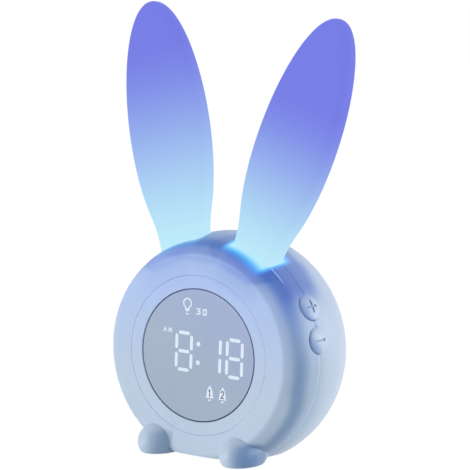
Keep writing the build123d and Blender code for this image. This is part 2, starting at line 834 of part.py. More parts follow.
def clock_sign():
    """Ring with one hand, for the setting of the time."""
    with BuildSketch() as sign:
        RegularPolygon(key_sign_size / 2, small_round_sides)
        RegularPolygon(key_sign_size / 2 - key_ring_width, small_round_sides, mode=Mode.SUBTRACT)
        with Locations((0, key_sign_size / 8)):
            Rectangle(key_ring_width, key_sign_size / 4)
    return sign.sketch


def dot_sign():
    """Ring with a dot, for the alarm."""
    with BuildSketch() as sign:
        RegularPolygon(key_sign_size / 2, small_round_sides)
        RegularPolygon(key_sign_size / 2 - key_ring_width, small_round_sides, mode=Mode.SUBTRACT)
        RegularPolygon(key_ring_width, small_round_sides)
    return sign.sketch


key_signs = {"plus": plus_sign(), "minus": minus_sign(), "mode": clock_sign(), "alarm": dot_sign()}
key_dome_edge = key_stands_proud - key_edge_drop
key_sign_floor = key_stands_proud - key_sign_depth - key_edge_drop * (key_sign_size / 2 / key_radius) ** 2


def key_cap(name, side, angle):
    """Domed key with its flange, the pin that works the switch, and a sunk sign."""
    middle = key_plane(side, angle, 0)
    profile_plane = Plane(middle.origin, middle.x_dir, middle.z_dir.cross(middle.x_dir) * -1)
    with BuildPart() as cap:
        with BuildSketch(profile_plane):
            with BuildLine():
                Polyline(
                    (0, key_stands_proud),
                    (0, key_pin_bottom),
                    (key_pin_radius, key_pin_bottom),
                    (key_pin_radius, key_flange_bottom),
                    (key_flange_radius, key_flange_bottom),
                    (key_flange_radius, key_flange_top),
                    (key_radius, key_flange_top),
                    (key_radius, key_dome_edge - key_edge_chamfer),
                    (key_radius - key_edge_chamfer, key_dome_edge),
                )
                ThreePointArc(  # a flat dome is at three quarters of its rise halfway out
                    (key_radius - key_edge_chamfer, key_dome_edge),
                    ((key_radius - key_edge_chamfer) / 2, key_dome_edge + key_edge_drop * 0.75),
                    (0, key_stands_proud),
                )
            make_face()
        revolve(axis=Axis(middle.origin, middle.z_dir))
        with BuildSketch(key_plane(side, angle, key_sign_floor)):
            add(key_signs[name])
        extrude(amount=2 * key_stands_proud, mode=Mode.SUBTRACT)
    return cap.part


for name, side, angle in keys:
    finish_piece(key_cap(name, side, angle), f"{name}_button")
    stem = rod(key_plane(side, angle, key_pin_bottom), switch_stem_radius, -switch_stem_length)
    finish_piece(stem, f"{name}_switch_stem")

with BuildPart() as key_switches:
    for side in sides:
        with BuildSketch(key_plane(side, key_board_angle, key_board_rise)):
            with Locations((-switch_spread, 0), (switch_spread, 0)):
                Rectangle(switch_size, switch_size)
        extrude(amount=switch_height)
        with BuildSketch(key_plane(side, key_board_angle, key_board_rise + switch_height)):
            with Locations((-switch_spread, 0), (switch_spread, 0)):
                RegularPolygon(switch_stem_radius + 2 * key_gap, small_round_sides)
        extrude(amount=-switch_stem_sunk - key_travel - 2 * key_gap, mode=Mode.SUBTRACT)
finish_piece(key_switches.part, "key_switches")

for hand, side in (("right", 1), ("left", -1)):
    with BuildPart() as key_board:
        with BuildSketch(key_plane(side, key_board_angle, key_board_rise)):
            Rectangle(key_board_length, key_board_width)
        extrude(amount=-board_thickness)
    finish_piece(key_board.part, f"{hand}_key_board")


# ---- Speaker ----

speaker_flange_y = speaker_seat_y - speaker_gasket
speaker_basket_y = speaker_flange_y - speaker_basket_depth
speaker_open_radius = speaker_radius - speaker_rim

with BuildPart() as speaker_gasket_ring:
    with BuildSketch(front_plane(speaker_flange_y)):
        Circle(speaker_radius)
        Circle(speaker_open_radius, mode=Mode.SUBTRACT)
    extrude(amount=-speaker_gasket)
finish_piece(speaker_gasket_ring.part, "speaker_gasket")

with BuildPart() as speaker_frame:
    with BuildSketch(Plane.XY.offset(case_axis_height)):
        with BuildLine():
            Polyline(
                (speaker_hub_hole, speaker_basket_y),
                (speaker_magnet_radius + wall, speaker_basket_y),
                (speaker_open_radius + wall / 2, speaker_flange_y - speaker_frame_thickness),
                (speaker_radius, speaker_flange_y - speaker_frame_thickness),
                (speaker_radius, speaker_flange_y),
                (speaker_open_radius, speaker_flange_y),
                (speaker_open_radius, speaker_flange_y - 1.5 * speaker_frame_thickness),
                (speaker_magnet_radius + wall / 2, speaker_basket_y + speaker_frame_thickness),
                (speaker_hub_hole, speaker_basket_y + speaker_frame_thickness),
                close=True,
            )
        make_face()
    revolve(axis=case_axis)
    with BuildSketch(back_plane(speaker_basket_y + speaker_frame_thickness)):
        with PolarLocations((speaker_magnet_radius + speaker_radius) / 2, 4, start_angle=45):
            Rectangle(speaker_basket_depth, wall * 2, rotation=90)
    extrude(amount=speaker_basket_depth - 2 * speaker_frame_thickness, mode=Mode.SUBTRACT)
finish_piece(speaker_frame.part, "speaker_frame")

with BuildPart() as speaker_magnet:
    with BuildSketch(front_plane(speaker_basket_y)):
        Circle(speaker_magnet_radius)
    extrude(amount=speaker_magnet_depth)
    chamfer(speaker_magnet.edges().group_by(Axis.Y)[0], speaker_cone_thickness)
finish_piece(speaker_magnet.part, "speaker_magnet")

speaker_cone_steps = (
    (0, speaker_flange_y - speaker_cone_depth * 0.6),
    (speaker_dust_cap * 0.6, speaker_flange_y - speaker_cone_depth * 0.75),
    (speaker_dust_cap, speaker_flange_y - speaker_cone_depth),
    (speaker_open_radius - fit_gap, speaker_flange_y - fit_gap),
)
with BuildPart() as speaker_cone:
    with BuildSketch(Plane.XY.offset(case_axis_height)):
        back_line = [(radius, y - speaker_cone_thickness) for radius, y in speaker_cone_steps]
        Polygon(*speaker_cone_steps, *reversed(back_line), align=None)
    revolve(axis=case_axis)
finish_piece(speaker_cone.part, "speaker_cone")

with BuildPart() as speaker_screws:
    for x, up in speaker_screw_places:
        seat = front_plane(speaker_flange_y - speaker_frame_thickness, x, up)
        reach = speaker_gasket + speaker_frame_thickness + speaker_screw_reach - fit_gap
        add(screw(seat, small_screw_shank, reach, small_screw_head, small_screw_head_height))
finish_piece(speaker_screws.part, "speaker_screws")


# ---- Charging socket on its own small board ----

usb_board_length = usb_board_size[1]
usb_board_back_y = usb_block_front_y - 2 * fit_gap
usb_inside = [size - 2 * usb_shell_thickness for size in usb_size]
with BuildPart() as usb_board:
    with BuildSketch(Plane.XY.offset(usb_board_top - board_thickness)):
        with Locations((0, usb_board_back_y - usb_board_length / 2)):
            Rectangle(*usb_board_size)
        with Locations(*usb_post_places):
            RegularPolygon(small_hole_radius, small_round_sides, mode=Mode.SUBTRACT)
    extrude(amount=board_thickness)
finish_piece(usb_board.part, "usb_board")

with BuildPart() as usb_socket:
    with BuildSketch(back_plane(usb_recess_floor_y - usb_depth)):
        with Locations((0, -usb_drop)):
            RectangleRounded(*usb_size, usb_size[1] * usb_end_share)
    extrude(amount=usb_depth)
    with BuildSketch(back_plane(usb_recess_floor_y - usb_depth + usb_shell_thickness)):
        with Locations((0, -usb_drop)):
            RectangleRounded(*usb_inside, usb_inside[1] * usb_end_share)
    extrude(amount=usb_depth, mode=Mode.SUBTRACT)
    with BuildSketch(back_plane(usb_recess_floor_y - usb_depth)):
        with Locations((0, -usb_drop)):
            Rectangle(usb_size[0] - 2 * usb_size[1] * usb_end_share, usb_tongue_thickness)
    extrude(amount=usb_tongue_length)
finish_piece(usb_socket.part, "usb_socket")

with BuildPart() as usb_screws:
    for x, y in usb_post_places:
        seat = Plane((x, y, usb_board_top))
        add(screw(seat, small_screw_shank, small_screw_length, small_screw_head, small_screw_head_height))
finish_piece(usb_screws.part, "usb_screws")


# ---- Main board, battery and the cradle that clamps them to the rear half ----

main_board_back_y = main_board_y + main_board_thickness
battery_back_y = cradle_plate_y - battery_pad_thickness
cradle_inside = (battery_size[0] + 2 * battery_gap, battery_size[2] + 2 * battery_gap)
cradle_outside = (cradle_inside[0] + 2 * cradle_wall, cradle_inside[1] + 2 * cradle_wall)

with BuildPart() as main_board:
    with BuildSketch(back_plane(main_board_y)):
        RectangleRounded(*main_board_size, wall)
        with Locations(*main_boss_places):
            RegularPolygon(small_hole_radius, small_round_sides, mode=Mode.SUBTRACT)
    extrude(amount=main_board_thickness)
finish_piece(main_board.part, "main_board")

header_places = [(x * column, header_up) for x in sides for column in header_columns]
with BuildPart() as board_parts:
    with BuildSketch(front_plane(main_board_y)):
        with Locations(*header_places):
            Rectangle(header_size[0], header_size[2])
    extrude(amount=header_size[1])
    with BuildSketch(back_plane(main_board_back_y)):
        for x, up, width, height in chips:
            with Locations((x, up)):
                Rectangle(width, height)
    extrude(amount=chip_height)
    with BuildSketch(back_plane(main_board_back_y)):
        with Locations(coil_place):
            RegularPolygon(coil_radius, small_round_sides)
    extrude(amount=header_size[1])
finish_piece(board_parts.part, "board_parts")

with BuildPart() as battery_cradle:
    with BuildSketch(front_plane(cradle_plate_y + cradle_wall)):
        RectangleRounded(*cradle_outside, wall)
        for x in sides:
            for y in sides:
                with Locations((x * (main_boss[0] + battery_size[0] / 2) / 2, y * main_boss[1])):
                    Rectangle(main_boss[0] - battery_size[0] / 2, 2 * cradle_leg_radius)
                with Locations((x * main_boss[0], y * main_boss[1])):
                    RegularPolygon(cradle_leg_radius, small_round_sides)
    extrude(amount=cradle_wall)
    with BuildSketch(front_plane(cradle_plate_y)):
        RectangleRounded(*cradle_outside, wall)
        Rectangle(*cradle_inside, mode=Mode.SUBTRACT)
    extrude(amount=cradle_wall_height)
    with BuildSketch(front_plane(main_board_y)):
        with Locations(*main_boss_places):
            RegularPolygon(cradle_leg_radius, small_round_sides)
    extrude(amount=main_board_y - cradle_plate_y)
    with BuildSketch(front_plane(main_board_y)):
        with Locations(*main_boss_places):
            RegularPolygon(small_hole_radius, small_round_sides)
    extrude(amount=main_board_y - cradle_plate_y, mode=Mode.SUBTRACT)
finish_piece(battery_cradle.part, "battery_cradle")

with BuildPart() as battery_pad:
    with BuildSketch(front_plane(cradle_plate_y)):
        Rectangle(battery_size[0] - 2 * wall, battery_size[2] - 2 * wall)
    extrude(amount=battery_pad_thickness)
finish_piece(battery_pad.part, "battery_pad")

with BuildPart() as battery:
    with BuildSketch(front_plane(battery_back_y)):
        Rectangle(battery_size[0], battery_size[2])
    extrude(amount=battery_size[1])
    fillet(battery.edges().filter_by(Axis.Z), battery_edge_round)
finish_piece(battery.part, "battery")

with BuildPart() as main_screws:
    for x, up in main_boss_places:
        seat = front_plane(cradle_plate_y, x, up)
        add(screw(seat, small_screw_shank, main_screw_length, small_screw_head, small_screw_head_height))
finish_piece(main_screws.part, "main_screws")

with BuildPart() as ear_clamp_screws:
    for side in sides:
        flat = ear_cross_plane(side, clamp_bottom)
        for u in (-clamp_screw_u, clamp_screw_u):
            seat = Plane(flat.from_local_coords((u, clamp_screw_w)), flat.x_dir, flat.z_dir * -1)
            add(screw(seat, small_screw_shank, clamp_screw_length, small_screw_head, small_screw_head_height))
finish_piece(ear_clamp_screws.part, "ear_clamp_screws")


# ---- Touch plate under the top of the case, and the pads it stands on ----

with BuildPart() as touch_plate:
    add(case_form(wall))
    add(case_form(wall + touch_plate_thickness), mode=Mode.SUBTRACT)
    with Locations((0, touch_plate_y, case_axis_height + case_radius)):
        Box(touch_plate_size[0], touch_plate_size[1], case_radius, mode=Mode.INTERSECT)
finish_piece(touch_plate.part, "touch_plate")

with BuildPart() as foot_pads:
    with BuildSketch(Plane.XY):
        with Locations((foot_x, foot_middle_y), (-foot_x, foot_middle_y)):
            Ellipse(foot_pad_width / 2, foot_pad_length / 2)
    extrude(amount=foot_pad_thickness)
finish_piece(foot_pads.part, "foot_pads")

with BuildPart() as base_pad:
    with BuildSketch(Plane.XY):
        with Locations((0, base_pad_y)):
            Ellipse(base_pad_width / 2, base_pad_length / 2)
    extrude(amount=base_height)
finish_piece(base_pad.part, "base_pad")


# ---- Leads: straight runs joined by arcs as large as the runs allow ----

def lead(label, points):
    """Round lead through its points, written as (x, y, height above the case axis)."""
    route = [Vector(x, y, case_axis_height + up) for x, y, up in points]
    runs = [b - a for a, b in zip(route, route[1:])]
    radii = []
    for before, after in zip(runs, runs[1:]):
        half_turn = radians(before.get_angle(after)) / 2
        radii.append(lead_bend_share * min(before.length, after.length) / tan(half_turn))
    with BuildPart() as tube:
        with BuildLine() as path:
            FilletPolyline(*route, radius=radii)
        with BuildSketch(Plane(route[0], z_dir=runs[0])):
            RegularPolygon(lead_radius, lead_sides)
        sweep(path=path.line)
    print(label, "radii", [round(radius, 1) for radius in radii])
    finish_piece(tube.part, label)


header_top = header_up + header_size[2] / 2
header_y = main_board_y - header_size[1] / 2
battery_top = battery_size[2] / 2
over_cradle = cradle_outside[1] / 2 + cradle_clearance

lead("battery_lead", [
    (-header_columns[0], battery_back_y - battery_tab_depth, battery_top),
    (-header_columns[0], battery_back_y - battery_tab_depth, over_cradle),
    (-header_columns[0], header_y, over_cradle),
    (-header_columns[0], header_y, header_top),
])
lead("display_lead", [
    (header_columns[0], display_board_front_y + board_thickness, over_cradle),
    (header_columns[0], header_y, over_cradle),
    (header_columns[0], header_y, header_top),
])
for hand, side in (("right", 1), ("left", -1)):
    start = ear_cross_plane(side, clamp_bottom - board_thickness)
    low = ear_cross_plane(side, clamp_bottom - board_thickness - ear_lead_drop)
    lead(f"{hand}_ear_lead", [
        (start.origin.X, start.origin.Y, start.origin.Z - case_axis_height),
        (low.origin.X, low.origin.Y, low.origin.Z - case_axis_height),
        (side * header_columns[1], header_y, over_cradle),
        (side * header_columns[1], header_y, header_top),
    ])
    board_back = key_plane(side, key_board_angle, key_board_rise - board_thickness)
    start = board_back.from_local_coords((0, side * key_lead_back))
    inner = start - board_back.z_dir * key_lead_inward
    lead(f"{hand}_key_lead", [
        (start.X, start.Y, start.Z - case_axis_height),
        (inner.X, inner.Y, inner.Z - case_axis_height),
        (side * key_lead_end[0], (inner.Y + main_board_y) / 2, key_lead_end[1]),
        (side * key_lead_end[0], main_board_y, key_lead_end[1]),
    ])
lead("speaker_lead", [
    (-12.4, speaker_flange_y - speaker_frame_thickness, -12.0),
    (-12.4, 36.0, -12.0),
    (-17.0, 27.0, -9.0),
    (-17.0, main_board_back_y, -9.0),
])
lead("usb_lead", [
    (0, usb_post_y, -usb_drop - usb_size[1] / 2),
    (0, usb_post_y, -20.0),
    (0, 24.5, -12.0),
    (0, main_board_back_y, -12.0),
])
touch_under = case_reach(touch_plate_y, wall + touch_plate_thickness) - lead_radius / 2
lead("touch_lead", [
    (0, touch_plate_y, touch_under),
    (0, touch_plate_y + 1, 27.0),
    (0, touch_plate_y + 4, 12.0),
    (0, main_board_back_y, 12.0),
])
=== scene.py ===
import json
import math

import bmesh
import bpy
from mathutils import Matrix, Vector


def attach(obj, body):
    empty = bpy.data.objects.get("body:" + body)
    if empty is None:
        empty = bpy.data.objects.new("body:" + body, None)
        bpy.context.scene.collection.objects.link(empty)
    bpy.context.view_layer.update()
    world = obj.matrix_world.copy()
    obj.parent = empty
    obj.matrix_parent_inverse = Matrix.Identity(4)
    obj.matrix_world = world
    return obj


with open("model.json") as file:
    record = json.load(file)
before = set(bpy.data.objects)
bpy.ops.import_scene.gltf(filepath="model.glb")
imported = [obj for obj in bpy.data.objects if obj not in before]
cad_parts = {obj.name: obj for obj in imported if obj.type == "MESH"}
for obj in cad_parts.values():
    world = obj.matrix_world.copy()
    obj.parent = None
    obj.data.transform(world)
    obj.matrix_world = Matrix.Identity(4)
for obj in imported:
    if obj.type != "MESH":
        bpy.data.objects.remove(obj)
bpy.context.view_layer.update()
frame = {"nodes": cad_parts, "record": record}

mm = 0.001
axisHeight = 44.9 * mm  # turning axis of the round case above the table
print("frame loaded:", len(frame["nodes"]), "nodes")


# Small helpers

def linear(red, green, blue):  # 0-255 display values to the linear colour that a shader takes
    values = [c / 255 for c in (red, green, blue)]
    return tuple(c / 12.92 if c <= 0.04045 else ((c + 0.055) / 1.055) ** 2.4 for c in values) + (1.0,)


def newGroup(name, inputs, outputs):
    group = bpy.data.node_groups.new(name, "ShaderNodeTree")
    for label, kind, start in inputs:
        socket = group.interface.new_socket(label, in_out="INPUT", socket_type=kind)
        if start is not None:
            socket.default_value = start
    for label, kind in outputs:
        group.interface.new_socket(label, in_out="OUTPUT", socket_type=kind)
    return group, group.nodes.new("NodeGroupInput"), group.nodes.new("NodeGroupOutput")


def addNode(tree, kind, settings=None, **inputs):
    node = tree.nodes.new(kind)
    for key, value in (settings or {}).items():
        setattr(node, key, value)
    for key, value in inputs.items():
        node.inputs[key].default_value = value
    return node


def mathNode(tree, operation, a, b=None, clamp=False):
    node = tree.nodes.new("ShaderNodeMath")
    node.operation = operation
    node.use_clamp = clamp
    for place, value in enumerate((a, b)):
        if value is None:
            continue
        if isinstance(value, (int, float)):
            node.inputs[place].default_value = value
        else:
            tree.links.new(value, node.inputs[place])
    return node.outputs[0]


def product(tree, first, *others):
    for other in others:
        first = mathNode(tree, "MULTIPLY", first, other)
    return first


def awayFrom(tree, value, place):
    return mathNode(tree, "ABSOLUTE", mathNode(tree, "SUBTRACT", value, place))


def vectorNode(tree, operation, a, b=None):
    node = tree.nodes.new("ShaderNodeVectorMath")
    node.operation = operation
    for place, value in enumerate((a, b)):
        if value is None:
            continue
        if isinstance(value, (tuple, Vector)):
            node.inputs[place].default_value = tuple(value)
        else:
            tree.links.new(value, node.inputs[place])
    return node.outputs["Value" if operation in ("LENGTH", "DOT_PRODUCT") else "Vector"]


def rangeNode(tree, value, fromMin, fromMax, toMin=0.0, toMax=1.0):
    node = addNode(tree, "ShaderNodeMapRange", {"interpolation_type": "SMOOTHSTEP"})
    tree.links.new(value, node.inputs["Value"])
    for label, number in (("From Min", fromMin), ("From Max", fromMax), ("To Min", toMin), ("To Max", toMax)):
        node.inputs[label].default_value = number
    return node.outputs["Result"]


def edgeNode(tree, value, places):  # 0 at the first place and 1 at the second, both in mm
    empty, full = places
    if empty < full:
        return rangeNode(tree, value, empty * mm, full * mm)
    return rangeNode(tree, value, full * mm, empty * mm, 1.0, 0.0)


def mixColours(tree, factor, first, second, blend="MIX"):
    node = tree.nodes.new("ShaderNodeMix")
    node.data_type = "RGBA"
    node.blend_type = blend
    for socket, value in ((node.inputs[0], factor), (node.inputs[6], first), (node.inputs[7], second)):
        if isinstance(value, (int, float, tuple)):
            socket.default_value = value
        else:
            tree.links.new(value, socket)
    return node.outputs[2]


def tint(tree, factor, paint, colour):
    return mixColours(tree, factor, paint, colour, "MULTIPLY")


def softShade(tree, value, shades):  # each shade is its colour and the places in mm where it comes in or goes
    shadow = (1.0, 1.0, 1.0, 1.0)
    for colour, *edges in shades:
        mask = product(tree, *(edgeNode(tree, value, places) for places in edges))
        shadow = tint(tree, mask, shadow, colour)
    return shadow


# Effects that several materials share

def makeGrainGroup():
    group, start, end = newGroup(
        "mouldedGrain",
        [("Scale", "NodeSocketFloat", 900.0), ("Height", "NodeSocketFloat", 0.00002),
         ("Mottle", "NodeSocketFloat", 0.03), ("Roughness", "NodeSocketFloat", 0.45)],
        [("Normal", "NodeSocketVector"), ("Shade", "NodeSocketFloat"), ("Roughness", "NodeSocketFloat")],
    )
    place = addNode(group, "ShaderNodeTexCoord").outputs["Object"]
    fine = addNode(group, "ShaderNodeTexNoise", Detail=3.0, Roughness=0.6)
    broad = addNode(group, "ShaderNodeTexNoise", Scale=38.0, Detail=4.0)
    group.links.new(place, fine.inputs["Vector"])
    group.links.new(place, broad.inputs["Vector"])
    group.links.new(start.outputs["Scale"], fine.inputs["Scale"])
    bump = addNode(group, "ShaderNodeBump", Strength=1.0, Distance=1.0)
    height = product(group, fine.outputs["Fac"], start.outputs["Height"])
    group.links.new(height, bump.inputs["Height"])
    spread = mathNode(group, "SUBTRACT", broad.outputs["Fac"], 0.5)
    shade = mathNode(group, "ADD", product(group, spread, start.outputs["Mottle"]), 1.0)
    uneven = mathNode(group, "ADD", product(group, spread, 0.3), 1.0)
    rough = mathNode(group, "MULTIPLY", uneven, start.outputs["Roughness"], clamp=True)
    group.links.new(bump.outputs["Normal"], end.inputs["Normal"])
    group.links.new(shade, end.inputs["Shade"])
    group.links.new(rough, end.inputs["Roughness"])
    return group


grainGroup = makeGrainGroup()


def useGrain(tree, scale, height, mottle, roughness):
    node = addNode(tree, "ShaderNodeGroup", {"node_tree": grainGroup})
    for label, value in (("Scale", scale), ("Height", height), ("Mottle", mottle), ("Roughness", roughness)):
        node.inputs[label].default_value = value
    return node


def newMaterial(name):
    material = bpy.data.materials.new(name)
    material.use_nodes = True
    tree = material.node_tree
    return material, tree, tree.nodes["Principled BSDF"]


def dressSurface(tree, shader, grain, paint):
    tree.links.new(tint(tree, 1.0, paint, grain.outputs["Shade"]), shader.inputs["Base Color"])
    tree.links.new(grain.outputs["Roughness"], shader.inputs["Roughness"])
    tree.links.new(grain.outputs["Normal"], shader.inputs["Normal"])


def giveLight(tree, shader, glow, strength):
    tree.links.new(glow, shader.inputs["Emission Color"])
    shader.inputs["Emission Strength"].default_value = strength


def mirroredPlace(tree):  # object position with both halves folded onto the right one
    place = addNode(tree, "ShaderNodeTexCoord").outputs["Object"]
    axes = addNode(tree, "ShaderNodeSeparateXYZ")
    folded = addNode(tree, "ShaderNodeCombineXYZ")
    tree.links.new(place, axes.inputs[0])
    tree.links.new(mathNode(tree, "ABSOLUTE", axes.outputs["X"]), folded.inputs["X"])
    tree.links.new(axes.outputs["Y"], folded.inputs["Y"])
    tree.links.new(axes.outputs["Z"], folded.inputs["Z"])
    return folded.outputs[0], axes


# Ears: milky silicone lit from the neck, cyan at the root and violet at the tip

earSettings = {
    "rootX": 17.6 * mm,
    "rootUp": 42.0 * mm,
    "planeY": -7.7 * mm,
    "lean": 16.25,
    "tilt": 6.7,
    "turn": 3.0,
    "neckHalfWidth": 10.4 * mm,
    "neckHalfThickness": 6.2 * mm,
    "neckRounding": 1.5 * mm,
    "rootColour": linear(197, 245, 255),
    "tipColour": linear(120, 127, 232),
    "colourPlaces": (-16, 92),  # mm along the ear from its root, from the first colour to the second
    "rightStretch": 1.22,  # the right ear turns violet lower down than the left one
    "rightShift": 1.5 * mm,
    "glow": 0.94,
    "paint": (0.03, 0.03, 0.03, 1.0),
    "grain": (1100.0, 0.00001, 0.03, 0.5),  # scale, height, mottle, roughness, here and below
    "specular": 0.04,
}


def earAxes():  # root and unit vectors of the right ear; the left ear is its mirror image
    lean, tilt, turn = (math.radians(earSettings[key]) for key in ("lean", "tilt", "turn"))
    flatUp = Vector((0, math.sin(tilt), math.cos(tilt)))
    flatFront = Vector((0, -math.cos(tilt), math.sin(tilt)))
    root = Vector((earSettings["rootX"], earSettings["planeY"], axisHeight)) + flatUp * earSettings["rootUp"]
    upward = Vector((math.sin(lean), 0, 0)) + flatUp * math.cos(lean)
    across = Vector((math.cos(lean), 0, 0)) - flatUp * math.sin(lean)
    facing = flatFront * math.cos(turn) - across * math.sin(turn)
    return root, upward, across * math.cos(turn) + flatFront * math.sin(turn), facing


def makeEarMaterial():
    material, tree, shader = newMaterial("earSilicone")
    grain = useGrain(tree, *earSettings["grain"])
    folded, axes = mirroredPlace(tree)
    root, upward = earAxes()[:2]
    along = vectorNode(tree, "DOT_PRODUCT", vectorNode(tree, "SUBTRACT", folded, root), upward)
    onRight = mathNode(tree, "GREATER_THAN", axes.outputs["X"], 0.0)
    stretch = mathNode(tree, "ADD", product(tree, onRight, earSettings["rightStretch"] - 1), 1.0)
    shift = product(tree, onRight, earSettings["rightShift"])
    along = mathNode(tree, "ADD", product(tree, along, stretch), shift)
    towardsTip = edgeNode(tree, along, earSettings["colourPlaces"])
    colour = mixColours(tree, towardsTip, earSettings["rootColour"], earSettings["tipColour"])
    giveLight(tree, shader, tint(tree, 1.0, colour, grain.outputs["Shade"]), earSettings["glow"])
    dressSurface(tree, shader, grain, tint(tree, 1.0, colour, earSettings["paint"]))
    shader.inputs["Specular IOR Level"].default_value = earSettings["specular"]
    return material


# Light and shadow of the ears on the plastic round them

neckSettings = {
    "earShades": (  # a close and a wide painted shade, with the distances from an ear where each is gone and whole
        ((0.65, 0.71, 0.93, 1.0), (10.2, 8.0)),
        ((0.80, 0.85, 0.92, 1.0), (18.0, 8.0)),
    ),
    "glowFalls": (  # channel, strength, distances from an ear in mm between which it falls away
        ("Red", 0.54, -2.5, 3.6),
        ("Green", 0.85, -3.0, 6.3),
        ("Blue", 0.63, 0.0, 7.4),
    ),
    "shadeAcross": (1.18, 1.4),  # both end sooner beside an ear than before it; inner and outer side
    "glowAcross": (2.0, 2.1),
    "innerPlaces": (-9, -4),  # mm from the middle of the neck; the painted shade is weaker inside them
    "innerShare": 0.62,
    "forwardShift": 1.0 * mm,
    "surfaceLevel": -1 * mm,  # height of the case's skin along the ear's axis
    "outerColour": (0.45, 0.52, 0.85, 1.0),  # shadow on the case below the outer edge of an ear
    "outerPlaces": (  # axis of the ear, where the shadow is empty and full in mm
        ("across", (8, 14)),
        ("across", (30, 22)),
        ("facing", (-20, -11)),
        ("facing", (11, 2)),
        ("upward", (-24, -16)),
    ),
    "sides": (  # side, share of the painted shade, share of the painted light
        (1.0, 1.0, 1.0),
        (-1.0, 0.6, 0.3),
    ),
}


def makeNeckGroup():  # distances from the neck of one ear, and the mask of the shadow beside it
    group, start, end = newGroup("neckPlace", [("Place", "NodeSocketVector", None)],
                                 [("ShadeDistance", "NodeSocketFloat"), ("Glow", "NodeSocketFloat"),
                                  ("Share", "NodeSocketFloat"), ("Outer", "NodeSocketFloat")])
    root, *axes = earAxes()
    fromRoot = vectorNode(group, "SUBTRACT", start.outputs["Place"], root)
    along = {label: vectorNode(group, "DOT_PRODUCT", fromRoot, axis)
             for label, axis in zip(("upward", "across", "facing"), axes)}
    rounding = earSettings["neckRounding"]

    def beyond(value, limit):
        past = mathNode(group, "SUBTRACT", mathNode(group, "ABSOLUTE", value), limit - rounding)
        return mathNode(group, "MAXIMUM", past, 0.0)

    sideways = beyond(along["across"], earSettings["neckHalfWidth"])
    moved = mathNode(group, "SUBTRACT", along["facing"], neckSettings["forwardShift"])
    forwards = beyond(moved, earSettings["neckHalfThickness"])
    sunk = mathNode(group, "SUBTRACT", neckSettings["surfaceLevel"], along["upward"])
    below = mathNode(group, "MAXIMUM", sunk, 0.0)
    rest = mathNode(group, "ADD", product(group, forwards, forwards), product(group, below, below))
    onOuter = mathNode(group, "GREATER_THAN", along["across"], 0.0)
    for label, key in (("ShadeDistance", "shadeAcross"), ("Glow", "glowAcross")):
        inner, outside = neckSettings[key]
        stretch = mathNode(group, "ADD", product(group, onOuter, outside - inner), inner)
        stretched = product(group, sideways, stretch)
        total = mathNode(group, "ADD", product(group, stretched, stretched), rest)
        distance = mathNode(group, "SUBTRACT", mathNode(group, "SQRT", total), rounding)
        group.links.new(distance, end.inputs[label])
    weak, whole = (place * mm for place in neckSettings["innerPlaces"])
    share = rangeNode(group, along["across"], weak, whole, neckSettings["innerShare"], 1.0)
    group.links.new(share, end.inputs["Share"])
    edges = [edgeNode(group, along[label], places) for label, places in neckSettings["outerPlaces"]]
    group.links.new(product(group, *edges), end.inputs["Outer"])
    return group


neckGroup = makeNeckGroup()


def neckLight(tree, distance):  # painted light that an ear throws on the plastic; the blue reaches furthest
    outside = mathNode(tree, "MAXIMUM", distance, 0.0)
    light = addNode(tree, "ShaderNodeCombineColor")
    for channel, strength, near, far in neckSettings["glowFalls"]:
        fall = rangeNode(tree, outside, near * mm, far * mm, strength, 0.0)
        tree.links.new(fall, light.inputs[channel])
    return light.outputs["Color"]


def earLightAndShade(tree, paint):  # colour of the plastic with the painted shade, painted shadow and painted light of the two ears on it
    place = addNode(tree, "ShaderNodeTexCoord").outputs["Object"]
    glow = (0.0, 0.0, 0.0, 1.0)
    for side, shadeShare, glowShare in neckSettings["sides"]:
        neck = addNode(tree, "ShaderNodeGroup", {"node_tree": neckGroup})
        tree.links.new(vectorNode(tree, "MULTIPLY", place, (side, 1.0, 1.0)), neck.inputs["Place"])
        earShade = softShade(tree, neck.outputs["ShadeDistance"], neckSettings["earShades"])
        light = neckLight(tree, neck.outputs["Glow"])
        shadedPaint = tint(tree, product(tree, neck.outputs["Share"], shadeShare), paint, earShade)
        shadowed = tint(tree, 1.0, paint, neckSettings["outerColour"])
        paint = mixColours(tree, neck.outputs["Outer"], shadedPaint, shadowed)
        glow = mixColours(tree, glowShare, glow, light, "ADD")
    return paint, glow


# Keys: same plastic as the case, with painted shade towards the front of each dome, painted light in the gap
# round it and painted shade in the sunk signs

keySettings = {
    "reach": 50.0 * mm,  # from the axis of the case to the middle of a key
    "radius": 5.7 * mm,
    "gap": 0.27 * mm,
    "keys": (  # node, sign, angle in degrees from straight up
        ("plus_button", "plus", 61.3),
        ("minus_button", "minus", 77.8),
        ("mode_button", "ring", 61.3),
        ("alarm_button", "ring", 77.8),
    ),
    "shadeColour": (0.50, 0.62, 0.84, 1.0),
    "shadeTowards": (0.86, 0.5),  # share of forward and of downward
    "shadeFrom": (0.1, 0.95),  # shares of the radius between which the shade comes in
    "gapGlow": linear(98, 112, 134),
    "litFrom": (-0.35, 0.3),  # shares of the radius between which the lit gap fades
    "sidePlaces": (-0.12, -0.04),  # mm from the radius, where the side of a key begins
    # painted shade in and round the sunk signs
    "signShade": (0.52, 0.62, 0.80, 1.0),
    "signHalfLength": 3.2 * mm,
    "signHalfWidth": 0.45 * mm,
    "signSoftness": 0.1 * mm,
    "ringRadius": 2.25 * mm,
    "ringEdge": (0.4, 0.25),  # mm from the ring's middle line, outside and inside the mark
}


